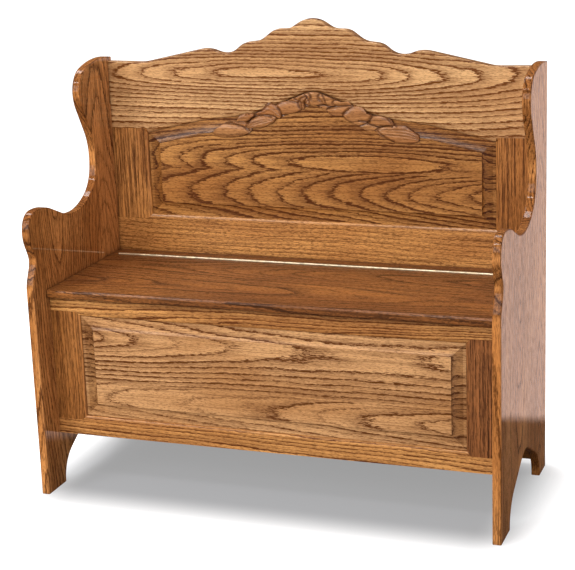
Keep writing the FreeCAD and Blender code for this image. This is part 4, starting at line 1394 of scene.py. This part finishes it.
@dataclass
class Studio:
    """A pale floor, soft lamps and the surroundings that the varnish mirrors.

    Directions have a length of 1, and their parts are how far east, north and up they go.

    Attributes:
        floor_size: Side of the floor, in metres.
        floor_colour: Colour of the floor as the lamps light it.
        shade_colour: Its colour in the painted shadow under the bench.
        shadow_light: How bright the painted shadow under the bench is to the camera, where 1 is white.
        shade_half: Half the length and depth of the painted shadow, in metres.
        shade_edge: Width of its soft edge, in metres.
        lamps: The lamps.
        wall: Colour of the mirrored wall.
        ground: Colour of the mirrored floor.
        wall_foot: How far up a direction goes where the mirrored floor ends and the wall starts.
        wall_side: How far east it goes where the wall starts and where it is full.
        fill: Strength of the light from all round.
        ahead: What is added to it from in front of the bench.
        aside: What is added to it from the bench's right.
    """

    floor_size: float = 60.0
    floor_colour: Colour = (0.55, 0.55, 0.55)
    shade_colour: Colour = (0.12, 0.12, 0.13)
    shadow_light: float = 0.33
    shade_half: tuple[float, float] = (0.46, 0.16)
    shade_edge: float = 0.2
    lamps: tuple[Lamp, ...] = (
        Lamp("Left softbox", (-2.1, -2.9, 1.7), 1.6, 46),
        Lamp("Right softbox", (0.1, -3.4, 2.0), 1.6, 40),
        Lamp("Left highlight", (-1.95, -2.3, 3.2), 0.6, 28),
        Lamp("Right highlight", (-0.5, -2.3, 3.25), 0.6, 28),
        Lamp("Top left", (-1.95, 0.7, 3.7), 0.9, 45, (0.0, 0.0, 0.4)),
        Lamp("Top right", (-0.4, 0.9, 3.8), 0.9, 38, (0.0, 0.0, 0.4)),
    )
    wall: Colour = (1.20, 0.86, 0.74)
    ground: Colour = (0.05, 0.035, 0.025)
    wall_foot: tuple[float, float] = (-0.350, -0.343)
    wall_side: tuple[float, float] = (0.02, 0.15)
    fill: float = 0.2
    ahead: float = 0.42
    aside: float = 0.35

    def floor(self) -> None:
        """Lay the floor, a flat square under the bench."""
        half = self.floor_size / 2
        mesh = bpy.data.meshes.new("Studio floor")
        corners = [(-half, -half, 0), (half, -half, 0), (half, half, 0), (-half, half, 0)]
        mesh.from_pydata(corners, [], [(0, 1, 2, 3)])
        piece = bpy.data.objects.new("Studio floor", mesh)
        bpy.context.collection.objects.link(piece)
        mesh.materials.append(self.floor_material())
        piece.visible_glossy = False

    def floor_material(self) -> bpy.types.Material:
        """Make the floor: matt, with a painted shadow under the bench, and pure white to the camera
        further out.

        Returns:
            The new material.
        """
        material, graph, shader = blank("Studio floor")
        east, north, _ = graph.split(graph.add("ShaderNodeTexCoord").outputs["Object"])
        # painted shadow: a soft-edged box under the bench darkens the floor's colour and its glow
        sides = (graph.smooth(graph.math("ABSOLUTE", axis), half + self.shade_edge, half)
                 for axis, half in zip((east, north), self.shade_half))
        under = graph.math("MULTIPLY", *sides)
        seen = graph.add("ShaderNodeLightPath").outputs["Is Camera Ray"]
        light = graph.math("MULTIPLY_ADD", under, self.shadow_light - 1.0, 1.0)
        for name, value in (
                ("Base Color", graph.mix(under, self.floor_colour, self.shade_colour)),
                ("Roughness", 1.0), ("Specular IOR Level", 0.0), ("Emission Color", WHITE),
                ("Emission Strength", graph.math("MULTIPLY", light, seen))):
            graph.feed(shader.inputs[name], value)
        return material

    def world(self) -> None:
        """Make the surroundings: white to the camera, a pale wall over a dark floor to the varnish."""
        world = bpy.data.worlds.new("Studio")
        bpy.context.scene.world = world
        world.use_nodes = True
        world.node_tree.nodes.clear()
        graph = Graph(world.node_tree)
        path = graph.add("ShaderNodeLightPath")

        def shine(colour: Any, strength: Any) -> bpy.types.NodeSocket:
            """Add a light from all round."""
            node = graph.add("ShaderNodeBackground")
            graph.feed(node.inputs["Color"], colour)
            graph.feed(node.inputs["Strength"], strength)
            return node.outputs[0]

        def choose(ray: str, usual: Any, other: Any) -> bpy.types.NodeSocket:
            """Give one kind of ray another light."""
            node = graph.add("ShaderNodeMixShader")
            for socket, value in zip(node.inputs, (path.outputs[ray], usual, other)):
                graph.feed(socket, value)
            return node.outputs[0]

        east, north, height = graph.split(graph.add("ShaderNodeTexCoord").outputs["Generated"])
        foot, side = graph.smooth(height, *self.wall_foot), graph.smooth(east, *self.wall_side)
        mirrored = graph.mix(graph.math("MULTIPLY", foot, side), self.ground, self.wall)
        level = graph.math("MULTIPLY_ADD", graph.smooth(north, 0.4, -0.9), self.ahead, self.fill)
        level = graph.math("MULTIPLY_ADD", graph.smooth(east, 0.1, 0.9), self.aside, level)
        light = choose("Is Glossy Ray", shine(WHITE, level), shine(mirrored, 1.0))
        light = choose("Is Camera Ray", light, shine(WHITE, 1.0))
        graph.feed(graph.add("ShaderNodeOutputWorld").inputs["Surface"], light)

    def build(self) -> None:
        """Set up the floor, the lamps and the surroundings."""
        self.floor()
        for lamp in self.lamps:
            lamp.build()
        self.world()
        bpy.context.scene.view_settings.view_transform = "Standard"


@dataclass
class ViewPoint:
    """The camera that took the photo, as found from the bench's straight edges.

    Attributes:
        place: Where it stands, in metres.
        yaw: How far it turns to the left of +Y, in degrees.
        pitch: How far it looks down, in degrees.
        roll: How far it leans, in degrees.
        lens: Its focal length, in millimetres.
        sensor: The width that its picture has behind the lens, in millimetres.
    """

    place: tuple[float, float, float] = (1.218, -3.248, 1.423)
    yaw: float = 20.58
    pitch: float = 15.45
    roll: float = -2.22
    lens: float = 101.14
    sensor: float = 36.0

    def build(self) -> None:
        """Place the camera, from its forward, right and up directions."""
        yaw, pitch, roll = (math.radians(angle) for angle in (self.yaw, self.pitch, self.roll))
        forward = np.array((-math.sin(yaw) * math.cos(pitch), math.cos(yaw) * math.cos(pitch),
                            -math.sin(pitch)))
        level = np.array((math.cos(yaw), math.sin(yaw), 0.0))
        upright = np.cross(level, forward)
        right = math.cos(roll) * level + math.sin(roll) * upright
        up = -math.sin(roll) * level + math.cos(roll) * upright
        data = bpy.data.cameras.new("Camera")
        data.lens = self.lens
        data.sensor_width = self.sensor
        piece = bpy.data.objects.new("Camera", data)
        stand(piece, self.place, right, up, forward)
        bpy.context.scene.camera = piece


def main() -> None:
    """Build every part of the picture, in order."""
    logging.basicConfig(level=logging.INFO, format="%(name)s: %(message)s")
    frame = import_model()
    nodes = frame["nodes"]
    for part in (EndBoards(), FrontFrame(), BackFrame(), Carving(), Seat(), StorageBox()):
        part.build(nodes)
        LOG.info("%s dressed", type(part).__name__)
    Studio().build()
    ViewPoint().build()


if __name__ == "__main__":
    main()
